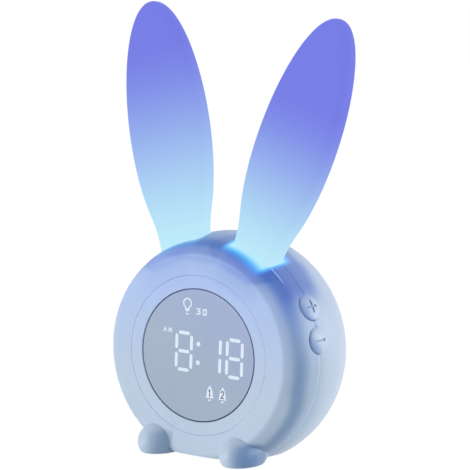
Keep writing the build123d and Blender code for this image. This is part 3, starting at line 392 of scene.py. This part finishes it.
def keyPlace(tree, folded, axes, angle):  # place round a key: down, forward, from its middle, to its shade
    turn = math.radians(angle)
    middle = Vector((math.sin(turn), 0, math.cos(turn))) * keySettings["reach"] + Vector((0, 0, axisHeight))
    fromMiddle = vectorNode(tree, "SUBTRACT", folded, middle)
    down = vectorNode(tree, "DOT_PRODUCT", fromMiddle, (math.cos(turn), 0.0, -math.sin(turn)))
    forward = product(tree, axes.outputs["Y"], -1.0)
    squares = mathNode(tree, "ADD", product(tree, forward, forward), product(tree, down, down))
    forwardShare, downShare = keySettings["shadeTowards"]
    towards = mathNode(tree, "ADD", product(tree, forward, forwardShare), product(tree, down, downShare))
    return down, forward, mathNode(tree, "SQRT", squares), towards


def keyGapLight(tree, glow, inGap, towards):  # painted light in the gap round a key, behind and above it
    first, last = (share * keySettings["radius"] for share in keySettings["litFrom"])
    lit = rangeNode(tree, towards, first, last, 1.0, 0.0)
    return mixColours(tree, product(tree, inGap, lit), glow, keySettings["gapGlow"], "ADD")


def barMark(tree, span, across):  # straight bar of a plus or minus
    half, width = keySettings["signHalfLength"], keySettings["signHalfWidth"]
    soft = keySettings["signSoftness"]
    ends = rangeNode(tree, mathNode(tree, "ABSOLUTE", span), half, half + soft, 1.0, 0.0)
    sides = rangeNode(tree, mathNode(tree, "ABSOLUTE", across), width - soft, width + soft, 1.0, 0.0)
    return product(tree, ends, sides)


def signMark(tree, sign, down, forward, fromMiddle):
    if sign == "ring":
        return edgeNode(tree, awayFrom(tree, fromMiddle, keySettings["ringRadius"]), keySettings["ringEdge"])
    mark = barMark(tree, forward, down)
    if sign == "plus":
        mark = mathNode(tree, "MAXIMUM", mark, barMark(tree, down, forward))
    return mark


# Case: pale blue satin plastic with a painted shade band round it, a painted highlight along the seam and
# painted light in a fine groove

caseSettings = {
    "colour": linear(208, 219, 232),
    # painted blue light of the ears on the upper front of the case
    "topLightColour": linear(190, 207, 246),
    "grain": (1400.0, 0.000012, 0.05, 0.42),
    "specular": 0.4,
    "topPlaces": (24.9, 84.9),  # height in mm, from the lower to the upper colour
    "frontPlaces": (-14 * mm, 4 * mm),
    "rearShare": 0.3,  # of the upper colour behind them
    "lipShade": (0.72, 0.79, 0.91, 1.0),  # on the front lip between the ears
    "lipUp": (83.0, 87.2),
    "lipBack": (-15.0, -16.8),
    "lipAside": (12, 6),
    "displaySide": -18 * mm,
    "bandShades": (  # painted shade in a band round the case, with the distances behind the display side
        ((0.76, 0.81, 0.85, 1.0), (-0.5, 4.5), (27, 15)),
        ((0.50, 0.605, 0.74, 1.0), (1, 6), (14.5, 7)),
    ),
    "bandTop": (0.0, 0.06, 0.45, 1.0),  # painted blue light screened over the shade band near the top
    "bandTopPlaces": (48, 74),
    "bandShift": 2.2 * mm,  # the painted shade band lies further back near the feet
    "bandShiftPlaces": (24 * mm, 38 * mm),
    "grooveRadius": 34.2 * mm,
    "grooveEdge": (0.15, 0.12),  # mm from the groove's middle line
    "grooveFront": (-11, -12),
    # painted light in the groove, stronger on the right
    "grooveGlow": linear(88, 96, 102),
    "grooveGlowRight": linear(118, 126, 132),
    # painted highlight along the seam below the keys
    "seamHighlight": linear(232, 240, 252),
    "seamEdge": (0.3, 0.21),
    "seamLow": (56.9, 44.9),  # height in mm, where the painted highlight of the seam ends and is whole
    # painted light in the seam's gap, darker and bluer near the top
    "seamGlow": linear(104, 118, 140),
    "seamGlowTop": linear(66, 80, 124),
    "creaseUp": ((77.5, 80.5), (84.6, 83.6)),  # heights of a painted highlight line with a painted shade beside it, below the outer front corner of each ear
    "creaseLightY": -7.2 * mm,
    "creaseLightEdge": (0.55, 0.25),
    "creaseGlow": (0.16, 0.22, 0.20, 1.0),
    "creaseShadeY": -8.3 * mm,
    "creaseShadeEdge": (1.0, 0.3),
    "creaseShade": (0.74, 0.84, 0.92, 1.0),
    "footX": 21.3 * mm,
    "footAside": ((-1, 6.5), (10.5, 9.0)),  # mm from the middle of a foot
    "footUp": (12.0, 8.8),
    "footFront": (-9.5, -15.5),
    "footShade": (0.28, 0.42, 0.62, 1.0),
    "footShares": (0.45, 1.0),  # of the shade on the left and the right foot
}


def basePaint(tree, axes):  # painted blue light of the ears towards the top of the front half, with a painted shade on the lip between the ears
    x, y, z = (axes.outputs[label] for label in "XYZ")
    high = edgeNode(tree, z, caseSettings["topPlaces"])
    ahead = rangeNode(tree, y, *caseSettings["frontPlaces"], 1.0, caseSettings["rearShare"])
    paint = mixColours(tree, product(tree, high, ahead), caseSettings["colour"], caseSettings["topLightColour"])
    lip = product(tree, *(edgeNode(tree, value, caseSettings[key])
                          for value, key in ((z, "lipUp"), (y, "lipBack"), (x, "lipAside"))))
    return tint(tree, lip, paint, caseSettings["lipShade"])


# painted shade in a band round the case behind the display side, with painted blue light over it near the top
def bandPaint(tree, y, z, paint):
    shift = rangeNode(tree, z, *caseSettings["bandShiftPlaces"], caseSettings["bandShift"], 0.0)
    behind = mathNode(tree, "SUBTRACT", y, caseSettings["displaySide"])
    depth = mathNode(tree, "SUBTRACT", behind, shift)
    band = softShade(tree, depth, caseSettings["bandShades"])
    high = edgeNode(tree, z, caseSettings["bandTopPlaces"])
    return tint(tree, 1.0, paint, mixColours(tree, high, band, caseSettings["bandTop"], "SCREEN"))


def grooveLight(tree, folded, x, y, glow):  # painted light in the fine groove round the display, stronger towards the right
    flat = vectorNode(tree, "MULTIPLY", vectorNode(tree, "SUBTRACT", folded, (0, 0, axisHeight)), (1, 0, 1))
    fromGroove = awayFrom(tree, vectorNode(tree, "LENGTH", flat), caseSettings["grooveRadius"])
    groove = product(tree, edgeNode(tree, fromGroove, caseSettings["grooveEdge"]),
                     edgeNode(tree, y, caseSettings["grooveFront"]))
    rightward = rangeNode(tree, x, 0.0, caseSettings["grooveRadius"])
    light = mixColours(tree, rightward, caseSettings["grooveGlow"], caseSettings["grooveGlowRight"])
    return mixColours(tree, groove, glow, light, "ADD")


# painted highlight along the lower seam and painted light in its gap
def seamLines(tree, y, z, paint, glow):
    seam = edgeNode(tree, mathNode(tree, "ABSOLUTE", y), caseSettings["seamEdge"])
    low = edgeNode(tree, z, caseSettings["seamLow"])
    paint = mixColours(tree, product(tree, seam, low), paint, caseSettings["seamHighlight"])
    light = mixColours(tree, low, caseSettings["seamGlowTop"], caseSettings["seamGlow"])
    return paint, mixColours(tree, seam, glow, light, "ADD")


# painted highlight line and painted shade beside it, below each ear
def creaseLines(tree, y, z, paint, glow):
    run = product(tree, *(edgeNode(tree, z, places) for places in caseSettings["creaseUp"]))

    def line(kind):
        aside = awayFrom(tree, y, caseSettings[kind + "Y"])
        return product(tree, edgeNode(tree, aside, caseSettings[kind + "Edge"]), run)

    glow = mixColours(tree, line("creaseLight"), glow, caseSettings["creaseGlow"], "ADD")
    return tint(tree, line("creaseShade"), paint, caseSettings["creaseShade"]), glow


def footPaint(tree, x, y, z, paint):  # painted shade on the right side of the hollow between the case and each foot, weaker on the left foot
    toMiddle = product(tree, mathNode(tree, "SIGN", x), caseSettings["footX"])
    fromFoot = mathNode(tree, "SUBTRACT", x, toMiddle)
    aside = [edgeNode(tree, fromFoot, places) for places in caseSettings["footAside"]]
    share = rangeNode(tree, x, -1 * mm, 1 * mm, *caseSettings["footShares"])
    low = edgeNode(tree, z, caseSettings["footUp"])
    ahead = edgeNode(tree, y, caseSettings["footFront"])
    return tint(tree, product(tree, *aside, share, low, ahead), paint, caseSettings["footShade"])


def makeCaseMaterial(name, isCase):  # the ring has the same plastic, without the painted shade band and the painted light and shade of the seam, creases, key gaps and feet
    material, tree, shader = newMaterial(name)
    grain = useGrain(tree, *caseSettings["grain"])
    folded, axes = mirroredPlace(tree)
    x, y, z = (axes.outputs[label] for label in "XYZ")
    paint = basePaint(tree, axes)
    if isCase:
        paint = bandPaint(tree, y, z, paint)
    paint, glow = earLightAndShade(tree, paint)
    glow = grooveLight(tree, folded, x, y, glow)
    if isCase:
        paint, glow = seamLines(tree, y, z, paint, glow)
        paint, glow = creaseLines(tree, y, z, paint, glow)
        for angle in sorted({angle for node, sign, angle in keySettings["keys"]}):
            down, forward, fromKey, towards = keyPlace(tree, folded, axes, angle)
            inside = mathNode(tree, "LESS_THAN", fromKey, keySettings["radius"] + keySettings["gap"])
            glow = keyGapLight(tree, glow, inside, towards)
        paint = footPaint(tree, x, y, z, paint)
    giveLight(tree, shader, glow, 1.0)
    dressSurface(tree, shader, grain, paint)
    shader.inputs["Specular IOR Level"].default_value = caseSettings["specular"]
    return material


def makeKeyMaterial(name, sign, angle):
    material, tree, shader = newMaterial(name)
    grain = useGrain(tree, *caseSettings["grain"])
    folded, axes = mirroredPlace(tree)
    down, forward, fromMiddle, towards = keyPlace(tree, folded, axes, angle)
    radius = keySettings["radius"]
    shade = rangeNode(tree, towards, *(share * radius for share in keySettings["shadeFrom"]))
    paint, glow = earLightAndShade(tree, basePaint(tree, axes))
    paint = tint(tree, shade, paint, keySettings["shadeColour"])
    paint = tint(tree, signMark(tree, sign, down, forward, fromMiddle), paint, keySettings["signShade"])
    atSide = rangeNode(tree, fromMiddle, *(radius + place * mm for place in keySettings["sidePlaces"]))
    giveLight(tree, shader, keyGapLight(tree, glow, atSide, towards), 1.0)
    dressSurface(tree, shader, grain, paint)
    return material


# Display window: a half mirror with painted shade round its rim and a painted reflection bluer towards the
# upper right

lensSettings = {
    "colour": linear(165, 178, 194),
    # painted reflection, bluer towards the upper right
    "topLightColour": linear(161, 174, 203),
    # painted shade round the rim of the window in its recess, thicker towards the lower right
    "rimShadeColour": linear(44, 58, 98),
    "rimShadeTopColour": linear(30, 44, 118),
    "topTowards": (0.5, 0.0, 0.86),
    "topPlaces": (-16, 27),  # mm from the middle, from the lower to the upper colours
    "edgePlaces": (27.9, 28.1),  # radius in mm
    "edgeShift": Vector((-0.12 * mm, 0, 0.05 * mm)),
    "metallic": 0.75,
    "grain": (700.0, 0.000002, 0.04, 0.16),
}


def makeLensMaterial():
    material, tree, shader = newMaterial("mirrorLens")
    grain = useGrain(tree, *lensSettings["grain"])
    place = addNode(tree, "ShaderNodeTexCoord").outputs["Object"]
    middle = Vector((0, 0, axisHeight)) + lensSettings["edgeShift"]
    moved = vectorNode(tree, "MULTIPLY", vectorNode(tree, "SUBTRACT", place, middle), (1.0, 0.0, 1.0))
    edge = edgeNode(tree, vectorNode(tree, "LENGTH", moved), lensSettings["edgePlaces"])
    upRight = vectorNode(tree, "DOT_PRODUCT", moved, lensSettings["topTowards"])
    high = edgeNode(tree, upRight, lensSettings["topPlaces"])
    paint = mixColours(tree, high, lensSettings["colour"], lensSettings["topLightColour"])
    rimShadePaint = mixColours(tree, high, lensSettings["rimShadeColour"], lensSettings["rimShadeTopColour"])
    dressSurface(tree, shader, grain, mixColours(tree, edge, paint, rimShadePaint))
    metallic = rangeNode(tree, edge, 0.0, 1.0, lensSettings["metallic"], 0.0)
    tree.links.new(metallic, shader.inputs["Metallic"])
    return material


# The remaining finishes differ only in these values

plainFinishes = {  # colour, metallic, grain
    "black_plastic": ((22, 22, 24), 0.0, (1600.0, 0.00001, 0.1, 0.5)),
    "circuit_board": ((20, 92, 52), 0.0, (500.0, 0.000006, 0.35, 0.35)),
    "inner_plastic": ((222, 224, 226), 0.0, (1200.0, 0.00001, 0.06, 0.5)),
    "screw_steel": ((168, 170, 174), 1.0, (2600.0, 0.000008, 0.12, 0.3)),
    "speaker_steel": ((40, 40, 43), 0.3, (1500.0, 0.00001, 0.08, 0.45)),
    "magnet_iron": ((88, 88, 92), 0.8, (2200.0, 0.00002, 0.18, 0.5)),
    "cone_paper": ((46, 45, 48), 0.0, (1900.0, 0.00004, 0.2, 0.85)),
    "foam": ((38, 38, 41), 0.0, (2800.0, 0.00006, 0.25, 0.95)),
    "battery_film": ((166, 174, 184), 0.2, (600.0, 0.000008, 0.08, 0.3)),
    "touch_copper": ((214, 140, 96), 1.0, (1700.0, 0.000006, 0.14, 0.32)),
    "pad_rubber": ((176, 192, 214), 0.0, (2400.0, 0.00003, 0.08, 0.75)),
    "lead_insulation": ((190, 42, 36), 0.0, (1500.0, 0.000006, 0.05, 0.4)),
}


def makePlainMaterial(name, colour, metallic, grainValues):
    material, tree, shader = newMaterial(name)
    dressSurface(tree, shader, useGrain(tree, *grainValues), linear(*colour))
    shader.inputs["Metallic"].default_value = metallic
    return material


litSettings = {
    "colour": linear(226, 236, 250),
    "strength": 0.9,
    "darkening": 0.9,  # of the unlit colour
    "grain": (900.0, 0.000004, 0.06, 0.35),
    "specular": 0.1,
}


def makeLitMaterial():
    material, tree, shader = newMaterial("litSegments")
    grain = useGrain(tree, *litSettings["grain"])
    glow = tint(tree, 1.0, litSettings["colour"], grain.outputs["Shade"])
    giveLight(tree, shader, glow, litSettings["strength"])
    unlit = mixColours(tree, litSettings["darkening"], glow, (0.0, 0.0, 0.0, 1.0))
    tree.links.new(unlit, shader.inputs["Base Color"])
    tree.links.new(grain.outputs["Normal"], shader.inputs["Normal"])
    shader.inputs["Specular IOR Level"].default_value = litSettings["specular"]
    return material


finishes = {name: makePlainMaterial(name, *values) for name, values in plainFinishes.items()}
finishes["case_plastic"] = makeCaseMaterial("casePlastic", True)
finishes["ring_plastic"] = makeCaseMaterial("ringPlastic", False)
finishes["ear_silicone"] = makeEarMaterial()
finishes["mirror_lens"] = makeLensMaterial()
finishes["light_guide"] = makeLitMaterial()
keyFinishes = {node: makeKeyMaterial(node + "Plastic", sign, angle)
               for node, sign, angle in keySettings["keys"]}
for entry in frame["record"]["subparts"]:
    node = frame["nodes"][entry["node"]]
    for place in node.material_slots:
        place.material = keyFinishes.get(entry["node"]) or finishes[entry["material_slot"]]
print("finishes made:", len(finishes))


# Lit signs on the display, thin plates on the window

displaySettings = {
    "frontY": -17.6 * mm,
    "thickness": 0.06 * mm,
    "capPoints": 6,
}


def strokePlate(parts, points, width, closed=False, lift=0.0):
    # adds one flat stroke with round ends; points are (x, up) in mm on the display
    half = width / 2
    count = len(points)
    left, right = [], []
    for index in range(count):
        here = Vector(points[index])
        before = Vector(points[index - 1]) if closed or index > 0 else None
        after = Vector(points[(index + 1) % count]) if closed or index < count - 1 else None
        inward = (here - before).normalized() if before is not None else (after - here).normalized()
        outward = (after - here).normalized() if after is not None else inward
        along = (inward + outward).normalized()
        across = Vector((-along.y, along.x)) * (half / max(0.5, along.dot(outward)))
        left.append(here + across)
        right.append(here - across)
    if closed:
        parts.append((left, right, lift))
        return
    steps = displaySettings["capPoints"]

    def roundEnd(end, rim):  # half circle from the rim of the stroke
        centre = Vector(end)
        arm = rim - centre
        turns = [-math.pi * step / steps for step in range(1, steps)]
        return [centre + Vector((arm.x * math.cos(turn) - arm.y * math.sin(turn),
                                 arm.x * math.sin(turn) + arm.y * math.cos(turn))) for turn in turns]

    loop = left + roundEnd(points[-1], left[-1]) + right[::-1] + roundEnd(points[0], right[0])
    parts.append((loop, None, lift))


def buildSign(name, parts, slot):  # parts are (outline, inner outline or None, lift in mm)
    build = bmesh.new()

    def corner(point, lift, front):
        y = displaySettings["frontY"] - lift * mm - (displaySettings["thickness"] if front else 0)
        return build.verts.new((point[0] * mm, y, axisHeight + point[1] * mm))

    for first, second, lift in parts:
        loops = [first] if second is None else [first, second]
        fronts = [[corner(p, lift, True) for p in loop] for loop in loops]
        backs = [[corner(p, lift, False) for p in loop] for loop in loops]
        for front, back in zip(fronts, backs):
            for index in range(len(front)):
                after = (index + 1) % len(front)
                build.faces.new((front[index], front[after], back[after], back[index]))
        for layer in (fronts, backs):
            if second is None:
                build.faces.new(layer[0])
                continue
            outer, inner = layer
            for index in range(len(first)):
                after = (index + 1) % len(first)
                build.faces.new((outer[index], outer[after], inner[after], inner[index]))
    bmesh.ops.recalc_face_normals(build, faces=build.faces)
    bmesh.ops.triangulate(build, faces=[f for f in build.faces if len(f.verts) > 4])
    mesh = bpy.data.meshes.new(name)
    build.to_mesh(mesh)
    build.free()
    sign = bpy.data.objects.new(name, mesh)
    bpy.context.scene.collection.objects.link(sign)
    mesh.materials.append(finishes[slot])
    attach(sign, "root")


def arcPoints(centre, radius, start, end, steps):
    angles = [math.radians(start + (end - start) * step / steps) for step in range(steps + 1)]
    return [(centre[0] + radius * math.cos(a), centre[1] + radius * math.sin(a)) for a in angles]


digitSettings = {  # in mm
    "digits": ((-7.3, "abcdefg"), (7.3, "bc"), (18.3, "abcdefg")),  # place, lit bars
    "height": 7.9,
    "width": 3.75,
    "barLength": 4.1,
    "uprightExtra": 0.4,  # half of what an upright bar is longer
    "barWidth": 1.42,
    "lift": 0.9,
    "dotHeights": (4.0, -4.0),
    "dotRadius": 1.0,
}


def digitBars(parts, place, lit):
    # bars a to g: top, upper right, lower right, bottom, lower left, upper left, middle
    high, wide = digitSettings["height"], digitSettings["width"]
    run = digitSettings["barLength"] / 2
    upright = run + digitSettings["uprightExtra"]
    bars = {
        "a": ((place - run, high), (place + run, high)),
        "b": ((place + wide, high / 2 + upright), (place + wide, high / 2 - upright)),
        "c": ((place + wide, -high / 2 + upright), (place + wide, -high / 2 - upright)),
        "d": ((place - run, -high), (place + run, -high)),
        "e": ((place - wide, -high / 2 + upright), (place - wide, -high / 2 - upright)),
        "f": ((place - wide, high / 2 + upright), (place - wide, high / 2 - upright)),
        "g": ((place - run, 0), (place + run, 0)),
    }
    for bar in lit:
        ends = [(x, up + digitSettings["lift"]) for x, up in bars[bar]]
        strokePlate(parts, ends, digitSettings["barWidth"])


digitParts = []
for place, lit in digitSettings["digits"]:
    digitBars(digitParts, place, lit)
for up in digitSettings["dotHeights"]:
    dot = arcPoints((0, up + digitSettings["lift"]), digitSettings["dotRadius"], 0, 345, 23)
    digitParts.append((dot, None, 0.0))
buildSign("lit_digits", digitParts, "light_guide")

signSettings = {  # in mm
    "figures": (  # figure, left edge, foot, width, height, stroke
        ("3", -1.45, 17.7, 1.7, 2.15, 0.58),
        ("0", 1.95, 17.7, 1.45, 2.15, 0.58),
        ("A", -17.9, 8.3, 1.5, 1.55, 0.5),
        ("M", -15.2, 8.3, 1.3, 1.55, 0.5),
    ),
    "bulbCentre": (-6.2, 21.65),
    "bulbRadius": 1.95,
    "bulbAngles": (-62, 242),
    "bulbNeck": (0.75, 19.0),  # half width and height
    "bulbStroke": 0.62,
    "bulbCaps": ((0.45, 18.75, 1.15), (0.4, 17.1, 0.62)),  # half width, height, stroke
    "bells": (6.5, 13.0),
    "bellHalf": ((0.35, -12.1), (0.6, -12.9), (1.2, -13.7), (1.45, -15.0), (1.55, -16.4), (2.05, -17.3)),
    "clapper": (0.4, -18.3, 0.6),  # half width, height, stroke
    "bellNumbers": (
        ("1", 5.95, -16.6, 1.1, 2.9, 0.45),
        ("2", 12.35, -16.6, 1.3, 2.9, 0.42),
    ),
    "numberLift": 0.07,
}

smallFigures = {  # strokes on a field one wide and two high
    "0": (((0, 0), (1, 0), (1, 2), (0, 2)), True),
    "1": (((0.15, 1.5), (0.55, 2), (0.55, 0)), False),
    "2": (((0, 1.6), (0.25, 2), (0.75, 2), (1, 1.6), (0.9, 1.2), (0, 0), (1, 0)), False),
    "3": (((0, 2), (1, 2), (0.45, 1.15), (1, 0.8), (1, 0.25), (0.75, 0), (0, 0)), False),
    "A": (((0, 0), (0.5, 2), (1, 0)), False),
    "M": (((0, 0), (0, 2), (0.5, 0.9), (1, 2), (1, 0)), False),
}


def figureStroke(parts, figure, x, up, width, height, stroke, lift=0.0):
    points, closed = smallFigures[figure]
    strokePlate(parts, [(x + a * width, up + b * height / 2) for a, b in points], stroke, closed, lift)


def levelStroke(parts, middle, half, up, stroke):
    strokePlate(parts, [(middle - half, up), (middle + half, up)], stroke)


def bulbSign(parts):
    middle = signSettings["bulbCentre"][0]
    half, up = signSettings["bulbNeck"]
    globe = arcPoints(signSettings["bulbCentre"], signSettings["bulbRadius"], *signSettings["bulbAngles"], 22)
    strokePlate(parts, [(middle + half, up)] + globe + [(middle - half, up)], signSettings["bulbStroke"])
    for cap in signSettings["bulbCaps"]:
        levelStroke(parts, middle, *cap)


def bellSign(parts, middle):
    half = signSettings["bellHalf"]
    outline = [(middle + x, up) for x, up in half] + [(middle - x, up) for x, up in reversed(half)]
    parts.append((outline, None, 0.0))
    levelStroke(parts, middle, *signSettings["clapper"])


signParts = []
for figure in signSettings["figures"]:
    figureStroke(signParts, *figure)
bulbSign(signParts)
for middle in signSettings["bells"]:
    bellSign(signParts, middle)
buildSign("lit_signs", signParts, "light_guide")
numberParts = []
for figure in signSettings["bellNumbers"]:
    figureStroke(numberParts, *figure, lift=signSettings["numberLift"])
buildSign("bell_numbers", numberParts, "black_plastic")
print("display signs made")


# Stage: floor, soft lights and camera

stageSettings = {
    "floorSize": 6.0,
    "floorColour": (0.93, 0.93, 0.94, 1.0),
    "floorGrain": (220.0, 0.00002, 0.01, 0.85),
    "floorRoughness": 0.9,
    "floorLift": 0.86,  # share of plain white that the camera sees on the floor
    "floorWhite": 1.12,
    "worldLight": 0.44,
    "worldColour": (0.62, 0.8, 1.0, 1.0),
    "lights": (  # name, place in m, size in m, power in W, colour
        ("keyLight", (-0.78, -1.36, 0.41), 0.9, 13.0, (1.0, 0.99, 0.96)),
        ("rearLight", (1.3, 0.85, 0.3), 0.9, 15.5, (1.0, 0.98, 0.93)),
    ),
    "lightsAim": (0, 0.01, 0.08),
}
plainWhite = (1.0, 1.0, 1.0, 1.0)


def seenDirectly(tree):  # 1 for what the camera sees, also in a mirror or through glass
    rays = addNode(tree, "ShaderNodeLightPath").outputs
    seen = mathNode(tree, "MAXIMUM", rays["Is Camera Ray"], rays["Is Glossy Ray"])
    return mathNode(tree, "MAXIMUM", seen, rays["Is Transmission Ray"])


def blendShaders(tree, share, first, second, target):
    blend = addNode(tree, "ShaderNodeMixShader")
    for source, socket in zip((share, first.outputs[0], second.outputs[0]), blend.inputs):
        tree.links.new(source, socket)
    tree.links.new(blend.outputs[0], tree.nodes[target].inputs["Surface"])


def makeFloor():
    half = stageSettings["floorSize"] / 2
    corners = [(-half, -half, 0), (half, -half, 0), (half, half, 0), (-half, half, 0)]
    mesh = bpy.data.meshes.new("floor")
    mesh.from_pydata(corners, [], [(0, 1, 2, 3)])
    floor = bpy.data.objects.new("floor", mesh)
    bpy.context.scene.collection.objects.link(floor)
    material, tree, shader = newMaterial("floorPaper")
    grain = useGrain(tree, *stageSettings["floorGrain"])
    tinted = tint(tree, 1.0, stageSettings["floorColour"], grain.outputs["Shade"])
    tree.links.new(tinted, shader.inputs["Base Color"])
    tree.links.new(grain.outputs["Normal"], shader.inputs["Normal"])
    shader.inputs["Roughness"].default_value = stageSettings["floorRoughness"]
    shader.inputs["Specular IOR Level"].default_value = 0.0
    white = addNode(tree, "ShaderNodeEmission", Color=plainWhite, Strength=stageSettings["floorWhite"])
    share = product(tree, seenDirectly(tree), stageSettings["floorLift"])
    blendShaders(tree, share, shader, white, "Material Output")
    mesh.materials.append(material)


def makeWorld():
    world = bpy.data.worlds.new("studio")
    bpy.context.scene.world = world
    world.use_nodes = True
    tree = world.node_tree
    lighting = tree.nodes["Background"]
    lighting.inputs["Color"].default_value = stageSettings["worldColour"]
    lighting.inputs["Strength"].default_value = stageSettings["worldLight"]
    backdrop = addNode(tree, "ShaderNodeBackground", Color=plainWhite, Strength=1.0)
    blendShaders(tree, seenDirectly(tree), lighting, backdrop, "World Output")


def makeLights():
    aim = Vector(stageSettings["lightsAim"])
    for name, place, size, power, colour in stageSettings["lights"]:
        data = bpy.data.lights.new(name, "AREA")
        data.size = size
        data.energy = power
        data.color = colour
        lamp = bpy.data.objects.new(name, data)
        lamp.location = place
        lamp.rotation_euler = (aim - Vector(place)).to_track_quat("-Z", "Y").to_euler()
        bpy.context.scene.collection.objects.link(lamp)


cameraSettings = {
    "target": Vector((-0.0043, 0.0141, 0.0922)),
    "azimuth": 33.16,
    "elevation": 8.986,
    "roll": 2.0,
    "distance": 1.5,
    "lens": 269.1,
    "sensorWidth": 36,
    "clip": (0.05, 50),
}


def makeCamera():
    turn, lift, roll = (math.radians(cameraSettings[key]) for key in ("azimuth", "elevation", "roll"))
    back = Vector((math.sin(turn) * math.cos(lift), -math.cos(turn) * math.cos(lift), math.sin(lift)))
    level = Vector((math.cos(turn), math.sin(turn), 0))
    upright = back.cross(level)
    right = level * math.cos(roll) + upright * math.sin(roll)
    up = upright * math.cos(roll) - level * math.sin(roll)
    data = bpy.data.cameras.new("camera")
    data.lens = cameraSettings["lens"]
    data.sensor_width = cameraSettings["sensorWidth"]
    data.clip_start, data.clip_end = cameraSettings["clip"]
    camera = bpy.data.objects.new("camera", data)
    place = cameraSettings["target"] + back * cameraSettings["distance"]
    camera.matrix_world = Matrix.Translation(place) @ Matrix((right, up, back)).transposed().to_4x4()
    bpy.context.scene.collection.objects.link(camera)
    bpy.context.scene.camera = camera


makeFloor()
makeWorld()
makeLights()
makeCamera()
bpy.context.scene.view_settings.view_transform = "Standard"
print("stage made")
